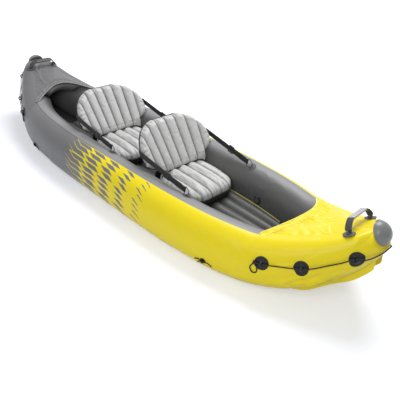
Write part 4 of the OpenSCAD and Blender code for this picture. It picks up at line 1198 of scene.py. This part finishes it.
for label in ("front", "rear"):
    body = f"{label}_backrest"
    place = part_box(f"{label}_seat_cushion")[0].x
    side_y = fan_half((strap_high - 0.0125 - fan_low) / (fan_high - fan_low)) + panel_margin
    behind = np.linspace(side_y - 0.085, side_y + 0.001, 9)
    sewn = on_back(wrap_at(behind) - 0.0022, behind, strap_high + 0 * behind, place)
    a = on_back(wrap_at(side_y) + back_face, side_y + 0.0028, strap_high, place)
    ring_x = place + ring_run
    out = skin_normal(ring_x, ring_turn)
    seat = skin(ring_x, ring_turn, merge=False)
    run = unit(seat + ring_up * out - a)
    near_bar, far_bar = seat + ring_up * out - 0.030 * run, seat + 0.0062 * out
    flat = unit(np.cross(run, [0, 1, 0]))
    over = np.cross(flat, run)
    lead = near_bar - 0.004 * run - a
    share = np.linspace(0.06, 1, 30)
    main = a + share[:, None] * lead - bar_r * ease((share - 0.7) / 0.3)[:, None] * over
    bend = np.radians(np.linspace(-75, 75, 7))
    round_bar = near_bar + bar_r * (np.cos(bend)[:, None] * run + np.sin(bend)[:, None] * over)
    home = np.linspace(1, buckle_share - 0.04, 12)
    strap_path = np.concatenate([sewn, [a], main, round_bar, a + home[:, None] * lead + bar_r * over])
    up_back = np.array([-math.sin(lean), 0, math.cos(lean)])
    twist = np.concatenate([0 * behind, [0.15], ease(share / 0.22), np.ones(len(bend) + len(home))])
    free = np.arange(len(strap_path)) > len(sewn)
    at_ring = np.linalg.norm(strap_path - near_bar, axis=1) < 0.03
    strap_part = swept(strap_path, up_back + twist[:, None] * (flat - up_back),
                       strap_w / 2 - 0.002 * (free & at_ring), strap_t / 2, 8.0, 16)
    buckle_at = a + buckle_share * (near_bar - a)
    buckle_ring = rounded_loop(buckle_at, run, flat, bar_half, 0.0225, 0.006)
    buckle_parts = [swept(buckle_ring, over, 0.0034, 0.0024, 3.0, 12, closed=True)]
    for shift, lift in ((-0.009, 0.0038), (0.006, 0.0042)):
        bar_at = buckle_at + shift * run + lift * over
        bar_path = bar_at + np.linspace(-bar_half, bar_half, 9)[:, None] * flat
        buckle_parts.append(swept(bar_path, run, 0.0034, 0.0020, 3.0, 12))
    reach = near_bar - far_bar
    wire_half = np.linalg.norm(reach) / 2 + 0.001
    wire_ring = rounded_loop((near_bar + far_bar) / 2, unit(reach), flat, wire_half, 0.0245, 0.007)
    wire = swept(wire_ring, over, 0.0022, 0.0022, 2.0, 12, closed=True)
    tabs, wires = [], []
    for side, hand in both_sides:
        mirror = (1, side, 1)
        strap = fitting(f"{label}_{hand}_back_strap", [moved(strap_part, np.eye(3), 0, mirror)])
        join(strap, strap_web, f"{label}_{hand}_strap", None)
        (a + 0.52 * (near_bar - a)) * mirror
        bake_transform(strap)
        parts = [moved(part, np.eye(3), 0, mirror) for part in buckle_parts]
        buckle = fitting(f"{label}_{hand}_ladder", parts)
        join(buckle, buckle_black, f"{label}_{hand}_buckle")
        tabs += [lay_on_skin(part, ring_x, ring_turn, mirror) for part in (ring_disc, tab)]
        wires.append(moved(wire, np.eye(3), 0, mirror))
    join(fitting(f"{label}_ring_patches", tabs), seat_patch,
         f"{label}_strap_patches")
    join(fitting(f"{label}_wire_loops", wires), ring_gray, f"{label}_strap_rings")


# Camera, floor and soft studio light. The camera stands where the photo was taken from. The pale floor and
# sky are brighter to the eye than the light that they throw on the boat.
view_turn, view_lift, view_roll = (math.radians(angle) for angle in (42.71339, 30.9318, 4.92998))
view_from = (2.04127, -1.86301, 1.63549)
photo_px, focal_px = 400, 475.0
middle_px = (190.0, 188.2)
floor_reach, floor_drop = 30, 0.001
right = Vector((math.cos(view_turn), math.sin(view_turn), 0))
back = Vector((math.sin(view_turn) * math.cos(view_lift), -math.cos(view_turn) * math.cos(view_lift),
               math.sin(view_lift)))
up = back.cross(right)
tilted_right = math.cos(view_roll) * right + math.sin(view_roll) * up
tilted_up = math.cos(view_roll) * up - math.sin(view_roll) * right
camera_data = bpy.data.cameras.new("camera")
camera_data.sensor_width = 36
camera_data.lens = focal_px / photo_px * camera_data.sensor_width
camera_data.shift_x = (photo_px / 2 - middle_px[0]) / photo_px
camera_data.shift_y = (middle_px[1] - photo_px / 2) / photo_px
camera = bpy.data.objects.new("camera", camera_data)
camera.matrix_world = Matrix.Translation(view_from) @ Matrix(
    (tilted_right, tilted_up, back)).transposed().to_4x4()
bpy.context.scene.collection.objects.link(camera)
bpy.context.scene.camera = camera


def seen_directly(tree):
    """1 where the eye meets a surface, in a reflection or through a clear piece too, and 0 otherwise."""
    ray = tree.nodes.new("ShaderNodeLightPath")
    seen, glossy, clear = (Value(tree, ray.outputs[f"Is {kind} Ray"])
                           for kind in ("Camera", "Glossy", "Transmission"))
    return seen.math("MAXIMUM", glossy).math("MAXIMUM", clear)


floor_corners = floor_reach * np.array([(-1, -1, 0), (1, -1, 0), (1, 1, 0), (-1, 1, 0)])
floor = new_piece("studio_floor", floor_corners, [(0, 1, 2, 3)])
floor.location.z = -floor_drop
floor_paint, floor_shader, floor_at = finish_of("studio_floor", 0.9, 0.1)
floor_x_at, floor_y_at = floor_at.split()[:2]
away = (floor_x_at * floor_x_at * 0.3 + floor_y_at * floor_y_at).math("SQRT").between(0.9, 2.2)
glow = away.blend((0.42, 0.42, 0.42), (0.85, 0.85, 0.85))
feed(floor_shader, Base_Color=floor_at.noise(0.4).blend((0.74, 0.76, 0.84), (0.76, 0.78, 0.86)),
     Emission_Color=seen_directly(floor_paint.node_tree).blend((0, 0, 0), glow))
floor_shader.inputs["Emission Strength"].default_value = 1.0
floor.data.materials.append(floor_paint)


def soft_lamp(name, place, aim, size, power):
    lamp = bpy.data.lights.new(name, "AREA")
    lamp.shape, lamp.size, lamp.energy = "DISK", size, power
    holder = bpy.data.objects.new(name, lamp)
    holder.location = place
    holder.rotation_euler = (Vector(aim) - Vector(place)).to_track_quat("-Z", "Y").to_euler()
    bpy.context.scene.collection.objects.link(holder)


soft_lamp("top_light", (-0.3, 1.7, 4.0), (0, 0, 0.2), 3.0, 165)
soft_lamp("fill_light", (1.8, -3.0, 2.6), (0.3, 0, 0.2), 2.5, 52)
world = bpy.data.worlds.new("studio")
world.use_nodes = True
sky = world.node_tree.nodes["Background"]
sky.inputs["Color"].default_value = (1, 1, 1, 1)
shown = seen_directly(world.node_tree)
world.node_tree.links.new((shown * 0.70 + 0.30).socket, sky.inputs["Strength"])
bpy.context.scene.world = world
bpy.context.scene.view_settings.view_transform = "Standard"
